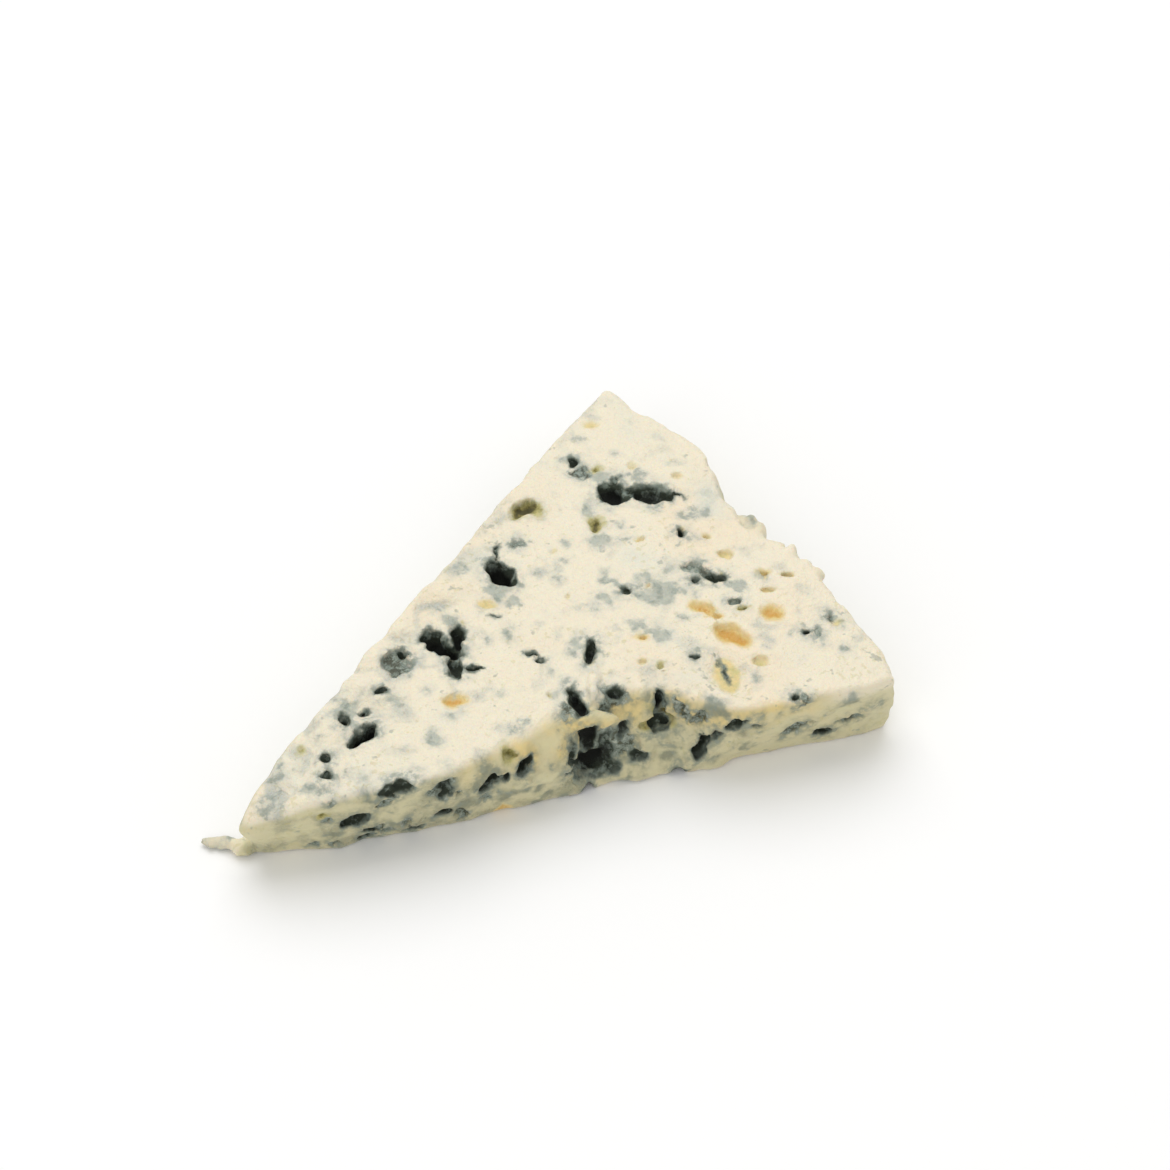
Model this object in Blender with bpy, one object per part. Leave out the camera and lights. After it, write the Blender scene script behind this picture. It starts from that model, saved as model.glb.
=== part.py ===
"""A wedge of blue cheese, cut from a round wheel and lying on one flat cut face.

The wedge is a sector of the wheel: a blunt tip at the wheel's centre, two straight cut sides
and the wheel's curved outer side. Its top is the other flat cut, its near side has a broken
notch where the cheese came away along a vein, and mould pockets open on all three cut faces.

Units are metres. +X runs from the tip to the outer side, +Z is up, and the origin is under the
middle of the wedge's box, on the surface that it lies on. Reach is the distance from the
wheel's centre, and bearing is the angle from the wedge's middle line, positive to the far side.
"""

import math
from typing import NamedTuple

import bmesh
import bpy
from mathutils import Matrix, Vector, noise

MM = 0.001

# The wheel and the cuts
WHEEL_RADIUS = 100 * MM
WEDGE_ANGLE = math.radians(40)
THICKNESS = 14 * MM
HALF_ANGLE = WEDGE_ANGLE / 2

# The tip, which is blunt and worn down
TIP_REACH = 2.6 * MM
TIP_ROUNDING = 4.0 * MM
TIP_UNDERCUT = 4.5 * MM
TIP_DROOP = 3.2 * MM
TIP_DROOP_REACH = 24 * MM

# The two corners at the outer side
CORNER_ROUNDING = 3.0 * MM
CORNER_SHARPNESS = 14

# The sides
NEAR_UNDERCUT = 2.6 * MM
FAR_UNDERCUT = 1.0 * MM
RIND_BULGE = 0.7 * MM
FOOT_CHAMFER = 0.5 * MM
SHOULDER = 1.1 * MM
TIP_SHOULDER = 3.6 * MM
TIP_SHOULDER_REACH = 34 * MM
SHOULDER_SHARE = 0.7

# The notch that broke out of the near side's upper edge
NOTCH_DEPTH = 8.2 * MM
NOTCH_START, NOTCH_FULL = 30 * MM, 62 * MM
NOTCH_WANE, NOTCH_END = 66 * MM, 80 * MM

# The unevenness of the cut faces: how far they stray, the size of one swell, and its noise seed
TOP_SWELL, TOP_SWELL_SIZE, TOP_SWELL_SEED = 0.45 * MM, 26 * MM, 1.3
SIDE_SWELL, SIDE_SWELL_SIZE, SIDE_SWELL_SEED = 0.8 * MM, 9 * MM, 3.1
SIDE_GRAIN, SIDE_GRAIN_SIZE, SIDE_GRAIN_SEED = 0.35 * MM, 3.5 * MM, 7.7
TIP_EVENNESS = 0.2

# The mesh
CELL = 2.5 * MM
FEWEST_CELLS = 5
SIDE_LEVELS = (
    (0.0, 0.0),
    (0.06, 0.0),
    (0.38, 0.0),
    (0.70, 0.0),
    (1.0, 0.0),
    (1.0, math.radians(45)),
    (1.0, math.radians(90)),
)
FINE_CUTTER, COARSE_CUTTER = 3, 2
FINE_CUTTER_LENGTH = 5.5 * MM
CUTTER_RAGGEDNESS, CUTTER_SWELL_SIZE, CUTTER_SEED = 0.3, 0.55, 5.0

PASTE_COLOUR = (0.86, 0.79, 0.62, 1.0)
PASTE_ROUGHNESS = 0.55


class Pocket(NamedTuple):
    """A hollow where mould grew, opening on one face.

    On the top, across is the bearing in degrees. On a side, across is the height in metres.
    turn is the angle of its length in the face, in degrees: from +X on the top, and from the
    level on a side.
    """

    face: str
    reach: float
    across: float
    length: float
    width: float
    depth: float
    turn: float


POCKETS = (
    Pocket("top", 88 * MM, 11.3, 9.6 * MM, 3.6 * MM, 3.6 * MM, -54),
    Pocket("top", 63 * MM, 14.3, 6.0 * MM, 3.4 * MM, 3.6 * MM, -80),
    Pocket("top", 48 * MM, 9.2, 4.6 * MM, 3.2 * MM, 2.8 * MM, 20),
    Pocket("top", 45.5 * MM, 3.2, 6.4 * MM, 3.0 * MM, 3.2 * MM, 74),
    Pocket("top", 28 * MM, 3.9, 5.8 * MM, 2.8 * MM, 3.6 * MM, 10),
    Pocket("top", 63 * MM, -3.9, 4.8 * MM, 2.0 * MM, 3.4 * MM, 38),
    Pocket("top", 75 * MM, 18.6, 5.6 * MM, 3.6 * MM, 2.8 * MM, -36),
    Pocket("top", 80 * MM, 10.9, 2.8 * MM, 2.4 * MM, 2.0 * MM, 0),
    Pocket("top", 85 * MM, -1.3, 5.0 * MM, 2.4 * MM, 2.0 * MM, -66),
    Pocket("top", 83 * MM, -9.8, 5.0 * MM, 2.4 * MM, 1.6 * MM, -62),
    Pocket("top", 78.5 * MM, -13.8, 5.0 * MM, 3.0 * MM, 1.4 * MM, 70),
    Pocket("near", 28 * MM, 10.2 * MM, 6.4 * MM, 1.8 * MM, 2.4 * MM, 4),
    Pocket("near", 34 * MM, 9.4 * MM, 2.2 * MM, 4.4 * MM, 2.6 * MM, 0),
    Pocket("near", 43 * MM, 7.8 * MM, 6.6 * MM, 1.9 * MM, 2.6 * MM, 20),
    Pocket("near", 58 * MM, 6.4 * MM, 6.0 * MM, 7.6 * MM, 3.4 * MM, 0),
    Pocket("near", 67 * MM, 9.6 * MM, 4.2 * MM, 2.4 * MM, 2.4 * MM, 10),
    Pocket("near", 75 * MM, 6.0 * MM, 7.4 * MM, 1.6 * MM, 2.4 * MM, 48),
    Pocket("far", 33 * MM, 6.5 * MM, 5.2 * MM, 2.2 * MM, 2.6 * MM, -12),
    Pocket("far", 52 * MM, 8.0 * MM, 7.2 * MM, 2.6 * MM, 3.2 * MM, 9),
    Pocket("far", 86 * MM, 5.8 * MM, 6.0 * MM, 3.2 * MM, 3.0 * MM, -25),
)


def clear_scene():
    """Removes every object that the scene starts with."""
    for obj in list(bpy.data.objects):
        bpy.data.objects.remove(obj)


def smooth_step(start, end, value):
    """0 before start, 1 after end, and an even curve between them."""
    share = min(1.0, max(0.0, (value - start) / (end - start)))
    return share * share * (3 - 2 * share)


def swell(point, size, seed):
    """Smooth noise from -1 to 1 whose bumps are about size across."""
    return noise.noise(Vector(point) / size + Vector((seed, -seed, 2 * seed)))


def polar(reach, bearing):
    """The plan point at that reach and bearing, from the wheel's centre."""
    return Vector((reach * math.cos(bearing), reach * math.sin(bearing), 0.0))


def cut_outward(side):
    """The level direction that a cut side faces: side is -1 for the near one, 1 for the far one."""
    return Vector((-math.sin(HALF_ANGLE), side * math.cos(HALF_ANGLE), 0.0))


def top_height(reach):
    """The top's height without its swells. It droops towards the worn tip."""
    worn = 1 - smooth_step(TIP_REACH, TIP_DROOP_REACH, reach)
    return THICKNESS - TIP_DROOP * worn * worn


def shoulder(reach):
    """The radius of the top's edge. It grows towards the worn tip, as far as the wedge is wide."""
    worn = 1 - smooth_step(TIP_REACH, TIP_SHOULDER_REACH, reach)
    half_width = reach * math.sin(HALF_ANGLE)
    return min(SHOULDER + (TIP_SHOULDER - SHOULDER) * worn, SHOULDER_SHARE * half_width)


def notch(reach):
    """How far the near side's upper edge is broken back."""
    return (
        NOTCH_DEPTH
        * smooth_step(NOTCH_START, NOTCH_FULL, reach)
        * (1 - smooth_step(NOTCH_WANE, NOTCH_END, reach))
    )


def cut_inset(side, reach, height):
    """How far a cut side stands in from its plane at that reach and height."""
    up = height / THICKNESS
    if side < 0:
        return NEAR_UNDERCUT * (1 - up) + notch(reach) * up
    return FAR_UNDERCUT * (1 - up)


def rim_point(along, across, level):
    """A point on the wedge's sides.

    along runs from 0 at the tip to 1 at the outer side, and across from -1 at the near side to
    1 at the far side. One of them is at its end. level is one of SIDE_LEVELS.
    """
    rise, turn = level
    first = TIP_REACH + TIP_ROUNDING * across * across + TIP_UNDERCUT * (1 - rise)
    last = WHEEL_RADIUS - CORNER_ROUNDING * abs(across) ** CORNER_SHARPNESS
    reach = first + (last - first) * along
    bearing = across * HALF_ANGLE
    edge = shoulder(reach)
    height = rise * (top_height(reach) - edge) + edge * math.sin(turn)
    inset = edge * (1 - math.cos(turn))
    if rise == 0.0:
        inset += FOOT_CHAMFER
    point = polar(reach, bearing)
    outward = Vector()
    if abs(across) == 1:
        outward += cut_outward(across)
        point -= cut_outward(across) * (inset + cut_inset(across, reach, height))
    if along == 1:
        radial = polar(1.0, bearing)
        bulge = RIND_BULGE * (2 * height / THICKNESS - 1) ** 2
        outward += radial
        point -= radial * (inset + bulge)
    if along == 0:
        outward -= polar(1.0, bearing)
        point += polar(1.0, bearing) * inset * (1 - abs(across))
    point.z = height
    stray = SIDE_SWELL * swell(point, SIDE_SWELL_SIZE, SIDE_SWELL_SEED)
    stray += SIDE_GRAIN * swell(point, SIDE_GRAIN_SIZE, SIDE_GRAIN_SEED)
    point += outward.normalized() * stray * min(1.0, reach / TIP_SHOULDER_REACH + TIP_EVENNESS)
    if turn > 0:
        point.z += top_swell(point) * math.sin(turn)
    return point


def top_swell(point):
    """The top's low unevenness at a plan point."""
    return TOP_SWELL * swell((point.x, point.y, 0.0), TOP_SWELL_SIZE, TOP_SWELL_SEED)


def row_count(along):
    """How many cells a row across the wedge has, so that cells keep about one size."""
    reach = TIP_REACH + (WHEEL_RADIUS - TIP_REACH) * along
    return max(FEWEST_CELLS, round(reach * WEDGE_ANGLE / CELL))


def zip_rows(bm, first, second):
    """Fills the strip between two rows of points with triangles, whatever their counts."""
    i, j = 0, 0
    while i < len(first) - 1 or j < len(second) - 1:
        next_i, next_j = (i + 1) / (len(first) - 1), (j + 1) / (len(second) - 1)
        if j == len(second) - 1 or (i < len(first) - 1 and next_i <= next_j):
            bm.faces.new((first[i], second[j], first[i + 1]))
            i += 1
        else:
            bm.faces.new((first[i], second[j], second[j + 1]))
            j += 1


def grid_faces(bm, columns):
    """Joins columns of equal length with quads, each column being points from the foot up."""
    for left, right in zip(columns, columns[1:]):
        for low in range(len(left) - 1):
            bm.faces.new((left[low], right[low], right[low + 1], left[low + 1]))


def top_row(bm, along, near_edge, far_edge):
    """The points of one row across the top, between its two edge points."""
    count = row_count(along)
    ends = [Vector((p.co.x, p.co.y)) for p in (near_edge, far_edge)]
    reaches = [p.length for p in ends]
    bearings = [math.atan2(p.y, p.x) for p in ends]
    row = [near_edge]
    for step in range(1, count):
        share = step / count
        reach = reaches[0] + (reaches[1] - reaches[0]) * share
        bearing = bearings[0] + (bearings[1] - bearings[0]) * share
        point = polar(reach, bearing)
        point.z = top_height(reach) + top_swell(point)
        row.append(bm.verts.new(point))
    return row + [far_edge]


def column(bm, along, across):
    """The side points at one place on the rim, from the foot up."""
    return [bm.verts.new(rim_point(along, across, level)) for level in SIDE_LEVELS]


def build_body():
    """The wedge as one closed mesh, without its pockets. The wheel's centre is at x = 0, y = 0."""
    bm = bmesh.new()
    rows = round((WHEEL_RADIUS - TIP_REACH) / CELL)
    alongs = [row / rows for row in range(rows + 1)]
    near = [column(bm, along, -1) for along in alongs]
    far = [column(bm, along, 1) for along in alongs]
    ends = {}
    for along, row in ((0, 0), (1, rows)):
        count = row_count(along)
        inner = [column(bm, along, 2 * step / count - 1) for step in range(1, count)]
        ends[along] = [near[row]] + inner + [far[row]]
    grid_faces(bm, near)
    grid_faces(bm, ends[1])
    grid_faces(bm, far[::-1])
    grid_faces(bm, ends[0][::-1])
    top = [[points[-1] for points in ends[0]]]
    for row in range(1, rows):
        top.append(top_row(bm, alongs[row], near[row][-1], far[row][-1]))
    top.append([points[-1] for points in ends[1]])
    for first, second in zip(top, top[1:]):
        zip_rows(bm, first, second)
    foot = near + ends[1][1:] + far[::-1][1:] + ends[0][::-1][1:-1]
    bm.faces.new([points[0] for points in reversed(foot)])
    for points in foot:
        points[0].co.z = 0.0
    bmesh.ops.triangulate(bm, faces=[f for f in bm.faces if len(f.verts) > 4])
    bmesh.ops.recalc_face_normals(bm, faces=bm.faces)
    mesh = bpy.data.meshes.new("blue_cheese_wedge")
    bm.to_mesh(mesh)
    bm.free()
    return mesh


def pocket_frame(pocket):
    """The matrix that puts a pocket's length on X, its width on Y and its way in along -Z."""
    if pocket.face == "top":
        place = polar(pocket.reach, math.radians(pocket.across))
        place.z = top_height(pocket.reach) + top_swell(place)
        turn = Matrix.Rotation(math.radians(pocket.turn), 4, "Z")
        return Matrix.Translation(place) @ turn
    side = -1 if pocket.face == "near" else 1
    outward = cut_outward(side)
    level = polar(1.0, side * HALF_ANGLE) * -side
    place = polar(pocket.reach, side * HALF_ANGLE)
    place -= outward * cut_inset(side, pocket.reach, pocket.across)
    place.z = pocket.across
    axes = Matrix((level, Vector((0, 0, 1)), outward)).transposed().to_4x4()
    turn = Matrix.Rotation(math.radians(pocket.turn), 4, "Z")
    return Matrix.Translation(place) @ axes @ turn


def build_cutter(index, pocket):
    """The ragged rounded shape that hollows out one pocket."""
    fine = max(pocket.length, pocket.width) >= FINE_CUTTER_LENGTH
    bm = bmesh.new()
    bmesh.ops.create_icosphere(bm, subdivisions=FINE_CUTTER if fine else COARSE_CUTTER, radius=1.0)
    frame = pocket_frame(pocket)
    half = Vector((pocket.length / 2, pocket.width / 2, pocket.depth))
    for vert in bm.verts:
        ragged = 1 + CUTTER_RAGGEDNESS * swell(vert.co, CUTTER_SWELL_SIZE, CUTTER_SEED + index)
        vert.co = frame @ (vert.co * half * ragged)
    mesh = bpy.data.meshes.new(f"pocket_cutter_{index:02d}")
    bm.to_mesh(mesh)
    bm.free()
    cutter = bpy.data.objects.new(mesh.name, mesh)
    cutter.hide_render = True
    cutter.display_type = "WIRE"
    bpy.context.scene.collection.objects.link(cutter)
    return cutter


def paste_material():
    """The cream paste, as one plain finish."""
    material = bpy.data.materials.new("cheese_paste")
    material.use_nodes = True
    shader = material.node_tree.nodes["Principled BSDF"]
    shader.inputs["Base Color"].default_value = PASTE_COLOUR
    shader.inputs["Roughness"].default_value = PASTE_ROUGHNESS
    shader.inputs["Metallic"].default_value = 0.0
    material.diffuse_color = PASTE_COLOUR
    return material


def centre_on_box(wedge, cutters):
    """Moves everything so that the origin is under the middle of the finished wedge's box."""
    bpy.context.view_layer.update()
    graph = bpy.context.evaluated_depsgraph_get()
    corners = [Vector(corner) for corner in wedge.evaluated_get(graph).bound_box]
    middle = [(min(c[i] for c in corners) + max(c[i] for c in corners)) / 2 for i in (0, 1)]
    shift = Matrix.Translation((-middle[0], -middle[1], 0.0))
    for obj in [wedge, *cutters]:
        obj.data.transform(shift)


def main():
    """Builds the wedge."""
    clear_scene()
    wedge = bpy.data.objects.new("blue_cheese_wedge", build_body())
    bpy.context.scene.collection.objects.link(wedge)
    wedge.data.materials.append(paste_material())
    cutters = [build_cutter(index, pocket) for index, pocket in enumerate(POCKETS)]
    for cutter in cutters:
        cut = wedge.modifiers.new(cutter.name, "BOOLEAN")
        cut.operation = "DIFFERENCE"
        cut.object = cutter
    centre_on_box(wedge, cutters)


main()
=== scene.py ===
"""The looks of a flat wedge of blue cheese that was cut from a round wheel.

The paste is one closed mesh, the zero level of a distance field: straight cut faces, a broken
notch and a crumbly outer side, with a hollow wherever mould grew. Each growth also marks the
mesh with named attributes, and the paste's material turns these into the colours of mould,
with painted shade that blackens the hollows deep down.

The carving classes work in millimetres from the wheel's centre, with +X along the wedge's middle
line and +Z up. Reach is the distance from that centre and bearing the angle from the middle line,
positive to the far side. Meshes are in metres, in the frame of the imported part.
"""

from __future__ import annotations

import logging
import math
from dataclasses import dataclass, field
from enum import Enum

import bpy
import numpy as np
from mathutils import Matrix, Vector


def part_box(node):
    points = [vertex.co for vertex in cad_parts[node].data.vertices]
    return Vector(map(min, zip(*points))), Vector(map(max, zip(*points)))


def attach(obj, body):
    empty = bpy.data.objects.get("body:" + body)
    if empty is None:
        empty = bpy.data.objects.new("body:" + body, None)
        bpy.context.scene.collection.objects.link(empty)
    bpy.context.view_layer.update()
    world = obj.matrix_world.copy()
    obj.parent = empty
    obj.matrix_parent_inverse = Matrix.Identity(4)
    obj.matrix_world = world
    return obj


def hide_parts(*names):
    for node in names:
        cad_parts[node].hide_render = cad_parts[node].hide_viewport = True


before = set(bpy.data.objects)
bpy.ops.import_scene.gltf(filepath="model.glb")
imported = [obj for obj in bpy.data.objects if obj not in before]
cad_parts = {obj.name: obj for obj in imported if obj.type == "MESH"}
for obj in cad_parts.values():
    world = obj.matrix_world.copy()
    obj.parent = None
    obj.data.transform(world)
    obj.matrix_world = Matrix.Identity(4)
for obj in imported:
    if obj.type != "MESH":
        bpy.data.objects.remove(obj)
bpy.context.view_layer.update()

LOG = logging.getLogger("blue_cheese_wedge")
CAD_NODE = "blue_cheese_wedge"
MM = 0.001
FAR_AWAY = 4.0

Array = np.ndarray
Span = tuple[float, float]
Colour = tuple[float, float, float, float]
Socket = bpy.types.NodeSocket


def smooth_step(start: float, end: float, value: Array) -> Array:
    """Gives 0 before start, 1 after end, and an even curve between them."""
    share = np.clip((value - start) / (end - start), 0.0, 1.0)
    return share * share * (3.0 - 2.0 * share)


def fade(span: Span, value: Array) -> Array:
    """Gives 1 before a span, 0 after it, and an even curve in it."""
    return 1.0 - smooth_step(*span, value)


def spread(points: Array) -> tuple[Array, Array]:
    """Gives each point's distance from the wheel's centre and its bearing in degrees."""
    return np.hypot(points[..., 0], points[..., 1]), np.degrees(np.arctan2(points[..., 1], points[..., 0]))


def round_max(first: Array, second: Array, radius: Array | float) -> Array:
    """Keeps what is inside both distances, with a round edge where they meet.

    Args:
        first: The signed distance from one shape, negative inside.
        second: The signed distance from the other.
        radius: The radius of the edge.

    Returns:
        The signed distance from what the two shapes share.
    """
    corner = np.hypot(np.maximum(first + radius, 0.0), np.maximum(second + radius, 0.0))
    return np.minimum(np.maximum(first, second), -radius) + corner


def polar(reach: float, bearing: float) -> Array:
    """Gives the plan point at a reach and a bearing in degrees, at height 0."""
    turn = math.radians(bearing)
    return np.array((reach * math.cos(turn), reach * math.sin(turn), 0.0))


def tint(red: int, green: int, blue: int) -> Colour:
    """Turns a screen colour of 0 to 255 a channel into the linear colour that shaders take.

    Args:
        red: Its red, from 0 to 255.
        green: Its green.
        blue: Its blue.

    Returns:
        The colour, with an alpha of 1.
    """
    parts = [value / 255.0 for value in (red, green, blue)]
    linear = [p / 12.92 if p <= 0.04045 else ((p + 0.055) / 1.055) ** 2.4 for p in parts]
    return (linear[0], linear[1], linear[2], 1.0)


class Noise:
    """Smooth noise from -1 to 1 that is the same each run."""

    SIDE = 64
    TURN = np.array(((0.36, 0.48, -0.80), (-0.80, 0.60, 0.0), (0.48, 0.64, 0.60)), np.float32)

    def __init__(self, seed: int) -> None:
        """Draws the lattice of random values.

        Args:
            seed: The number that picks the lattice.
        """
        draw = np.random.default_rng(seed)
        self.lattice = draw.uniform(-1.0, 1.0, (self.SIDE,) * 3).astype(np.float32)

    def at(self, points: Array, size: float) -> Array:
        """Reads the noise.

        Args:
            points: Points, with their coordinates along the last axis.
            size: How wide one swell is.

        Returns:
            One value for each point.
        """
        cells = (points @ self.TURN.T) / size
        low = np.floor(cells)
        part = cells - low
        part = part * part * (3.0 - 2.0 * part)
        low = low.astype(np.int32)
        total = np.zeros(points.shape[:-1], np.float32)
        for corner in np.ndindex(2, 2, 2):
            weight = 1.0
            index = []
            for axis in range(3):
                weight = weight * (part[..., axis] if corner[axis] else 1.0 - part[..., axis])
                index.append((low[..., axis] + corner[axis]) % self.SIDE)
            total += weight * self.lattice[tuple(index)]
        return total


class Face(Enum):
    """The faces of the wedge that mould opens on."""

    TOP = "the upper cut"
    UNDER = "the lower cut"
    NEAR = "the torn cut side"
    FAR = "the clean cut side"
    RIND = "the wheel's outer side"


TOP, UNDER, NEAR, FAR, RIND = Face


@dataclass(frozen=True)
class TopRelief:
    """The unevenness of the upper cut: low swells, pressed curds, drag marks, dents and grain."""

    swell: float = 0.5
    swell_size: float = 24.0
    ripple: float = 0.30
    ripple_size: float = 5.5
    curd: float = 1.5
    curd_size: float = 5.2
    curd_round: float = 0.16
    curd_level: float = 0.50
    curd_depths: Span = (3.0, 14.0)
    curd_reaches: Span = (52.0, 74.0)
    drag: float = 0.18
    drag_size: float = 2.0
    dent: float = 0.16
    curd_dent: float = 0.12
    dent_size: float = 1.9
    grain: float = 0.06
    grain_size: float = 0.9

    DRAGGED = np.array(((0.28, 1.1, 0.0), (-0.20, 0.7, 0.0), (0.0, 0.0, 1.0)), np.float32)

    def at(self, points: Array, half_angle: float, noise: Noise) -> Array:
        """Gives how far the top stands out of its level.

        Args:
            points: Points, with their coordinates along the last axis.
            half_angle: Half the wedge's angle, in degrees.
            noise: What makes the top uneven.

        Returns:
            The height over the level, at each point.
        """
        level = points * np.array((1.0, 1.0, 0.0), np.float32)
        reach = np.hypot(level[..., 0], level[..., 1])
        from_far = reach * np.radians(half_angle) - level[..., 1]
        curdy = fade(self.curd_depths, from_far) * fade(self.curd_reaches, reach)
        swell = self.swell * noise.at(level, self.swell_size)
        swell = swell + self.ripple * noise.at(level, self.ripple_size)
        curds = self.curd * np.hypot(noise.at(level, self.curd_size), self.curd_round) - self.curd_level
        drag = self.drag * noise.at(level @ self.DRAGGED, self.drag_size)
        dents = (self.dent + self.curd_dent * curdy) * np.minimum(noise.at(level, self.dent_size), 0.0)
        dents = dents + self.grain * noise.at(level, self.grain_size)
        return swell + curdy * curds + drag + dents


@dataclass(frozen=True)
class Roughness:
    """How the sides are uneven: the sizes of their lumps, and how far each kind stands out."""

    swell_size: float = 9.0
    clod_size: float = 5.5
    lump_size: float = 3.6
    crumb_size: float = 2.7
    grain_size: float = 1.5
    dip: float = 0.3
    side_swell: float = 0.6
    side_lump: float = 0.45
    side_grain: float = 0.18
    side_crumb: float = 0.3
    near: float = 0.75
    near_broken: float = 0.6
    far: float = 0.6
    rind_swell: float = 0.4
    rind_clod: float = 0.35
    rind_crumb: float = 0.4
    crumbly_crumb: float = 0.6
    rind_grain: float = 0.2
    tip_lump: float = 0.12
    under: float = 0.12
    edge_lump: float = 0.3
    calm: float = 0.25
    calm_reaches: Span = (8.0, 26.0)
    broken_opens: Span = (44.0, 54.0)
    broken_closes: Span = (74.0, 84.0)


@dataclass(frozen=True)
class WedgeForm:
    """The wedge without its mould: a sector of the wheel with worn and broken edges."""

    radius: float = 100.0
    half_angle: float = 20.0
    thickness: float = 14.0
    tip_reach: float = 1.2
    tip_undercut: float = 3.8
    tip_droop: float = 3.6
    droop_reach: float = 24.0
    tip_radius: float = 3.4
    near_undercut: float = 2.8
    near_tip_undercut: float = 1.6
    near_tip_reaches: Span = (9.0, 20.0)
    far_undercut: float = 0.2
    far_swell: float = 1.9
    swell_reaches: Span = (0.0, 120.0)
    rind_bulge: float = 0.7
    rind_loss: float = 3.4
    loss_bearing: float = 1.6
    loss_spread: float = 5.0
    far_gain: float = 2.0
    far_gain_bearings: Span = (5.0, 11.0)
    far_corner_gain: float = 1.4
    far_corner_bearings: Span = (17.0, 21.0)
    near_corner_gain: float = 2.2
    near_corner_bearings: Span = (10.0, 17.0)
    corner_radius: float = 1.0
    crumble: float = 1.3
    crumble_spread: float = 10.0
    foot_radius: float = 0.7
    edge_radius: float = 0.7
    near_edge_radius: float = 1.3
    near_edge_bearings: Span = (4.0, 16.0)
    tip_edge_radius: float = 2.8
    tip_edge_reach: float = 30.0
    notch_depth: float = 8.2
    notch_opens: Span = (30.0, 62.0)
    notch_closes: Span = (66.0, 80.0)
    bevel_reaches: Span = (52.0, 57.0)
    bevel_power: float = 3.2
    break_power: float = 1.2
    # The outer side's upper edge, kept pale as a painted highlight, and the tip's flake
    smear_reaches: Span = (90.0, 94.0)
    smear_heights: Span = (-3.4, -1.4)
    flake_bearings: Span = (22.0, 28.0)
    flake_reaches: Span = (13.0, 11.0)
    top: TopRelief = TopRelief()
    rough: Roughness = Roughness()

    def top_height(self, reach: Array | float) -> Array:
        """Gives the top's height, which droops towards the worn tip."""
        worn = fade((self.tip_reach, self.droop_reach), reach)
        return self.thickness - self.tip_droop * worn * worn

    def notch(self, reach: Array | float) -> Array:
        """Gives how far the near side's upper edge is broken back."""
        opened = self.notch_depth * smooth_step(*self.notch_opens, reach)
        return opened * fade(self.notch_closes, reach)

    def cut_outward(self, side: int) -> Array:
        """Gives the level direction that a cut side faces: side is -1 for near and 1 for far."""
        half = math.radians(self.half_angle)
        return np.array((-math.sin(half), side * math.cos(half), 0.0))

    def inset(self, side: int, reach: Array | float, up: Array | float) -> Array:
        """Gives how far a cut side stands in from its plane.

        Args:
            side: -1 for the near side and 1 for the far side.
            reach: The distance from the wheel's centre.
            up: The height as a share of the thickness.

        Returns:
            The distance, inwards.
        """
        if side > 0:
            swell = self.far_swell * smooth_step(*self.swell_reaches, reach)
            return self.far_undercut * (1.0 - up) - swell
        broken = smooth_step(*self.bevel_reaches, reach)
        power = self.bevel_power + (self.break_power - self.bevel_power) * broken
        tip = fade(self.near_tip_reaches, reach)
        undercut = self.near_undercut + self.near_tip_undercut * tip
        return undercut * (1.0 - up) + self.notch(reach) * up**power

    def rim(self, bearing: Array | float) -> Array:
        """Gives the reach of the worn outer side.

        Args:
            bearing: The bearing in degrees.

        Returns:
            The reach there.
        """
        loss = self.rind_loss * np.exp(-(((bearing - self.loss_bearing) / self.loss_spread) ** 2))
        far = self.far_gain * smooth_step(*self.far_gain_bearings, bearing)
        far = far + self.far_corner_gain * smooth_step(*self.far_corner_bearings, bearing)
        near = self.near_corner_gain * smooth_step(*self.near_corner_bearings, -bearing)
        return self.radius - loss + far + near

    def distances(self, points: Array, noise: Noise) -> tuple[Array, Array]:
        """Measures points from the wedge's surface.

        Args:
            points: Points, with their coordinates along the last axis.
            noise: What makes the faces uneven.

        Returns:
            The signed distance from the whole wedge, negative inside, and how much further out
            a point is from the sides than from the two flat cuts.
        """
        rough = self.rough
        z = points[..., 2]
        reach, bearing = spread(points)
        up = np.clip(z / self.thickness, 0.0, 1.0)
        swell = noise.at(points, rough.swell_size)
        lump = noise.at(points, rough.lump_size)
        grain = noise.at(points, rough.grain_size)
        crumb = np.abs(noise.at(points, rough.crumb_size)) - rough.dip
        clod = np.abs(noise.at(points, rough.clod_size)) - rough.dip
        calm = rough.calm + (1.0 - rough.calm) * smooth_step(*rough.calm_reaches, reach)
        broken = smooth_step(*rough.broken_opens, reach) * fade(rough.broken_closes, reach)
        stray = rough.side_swell * swell + rough.side_lump * lump
        stray = stray + rough.side_grain * grain + rough.side_crumb * crumb
        sides = []
        for side, share in ((-1, rough.near + rough.near_broken * broken), (1, rough.far)):
            plane = points @ self.cut_outward(side).astype(np.float32) + self.inset(side, reach, up)
            sides.append(plane + calm * share * stray)
        rind = reach - self.rim(bearing) + self.rind_bulge * (2.0 * up - 1.0) ** 2
        crumbly = self.crumble * np.exp(-(((bearing + self.loss_bearing) / self.crumble_spread) ** 2))
        rind = rind + rough.rind_swell * swell + (rough.rind_clod + crumbly) * clod
        rind = rind + (rough.rind_crumb + rough.crumbly_crumb * crumbly) * crumb + rough.rind_grain * grain
        tip = self.tip_reach + self.tip_undercut * (1.0 - up) - reach + rough.tip_lump * lump
        around = round_max(round_max(sides[0], sides[1], self.tip_radius), rind, self.corner_radius)
        around = round_max(around, tip, self.corner_radius)
        top = z - self.top_height(reach) - self.top.at(points, self.half_angle, noise)
        under = -z + rough.under * (1.0 + lump)
        edge = self.edge(reach, bearing) * (1.0 + rough.edge_lump * lump)
        body = round_max(round_max(around, top, edge), under, self.foot_radius)
        return body, around - np.maximum(top, under)

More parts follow.
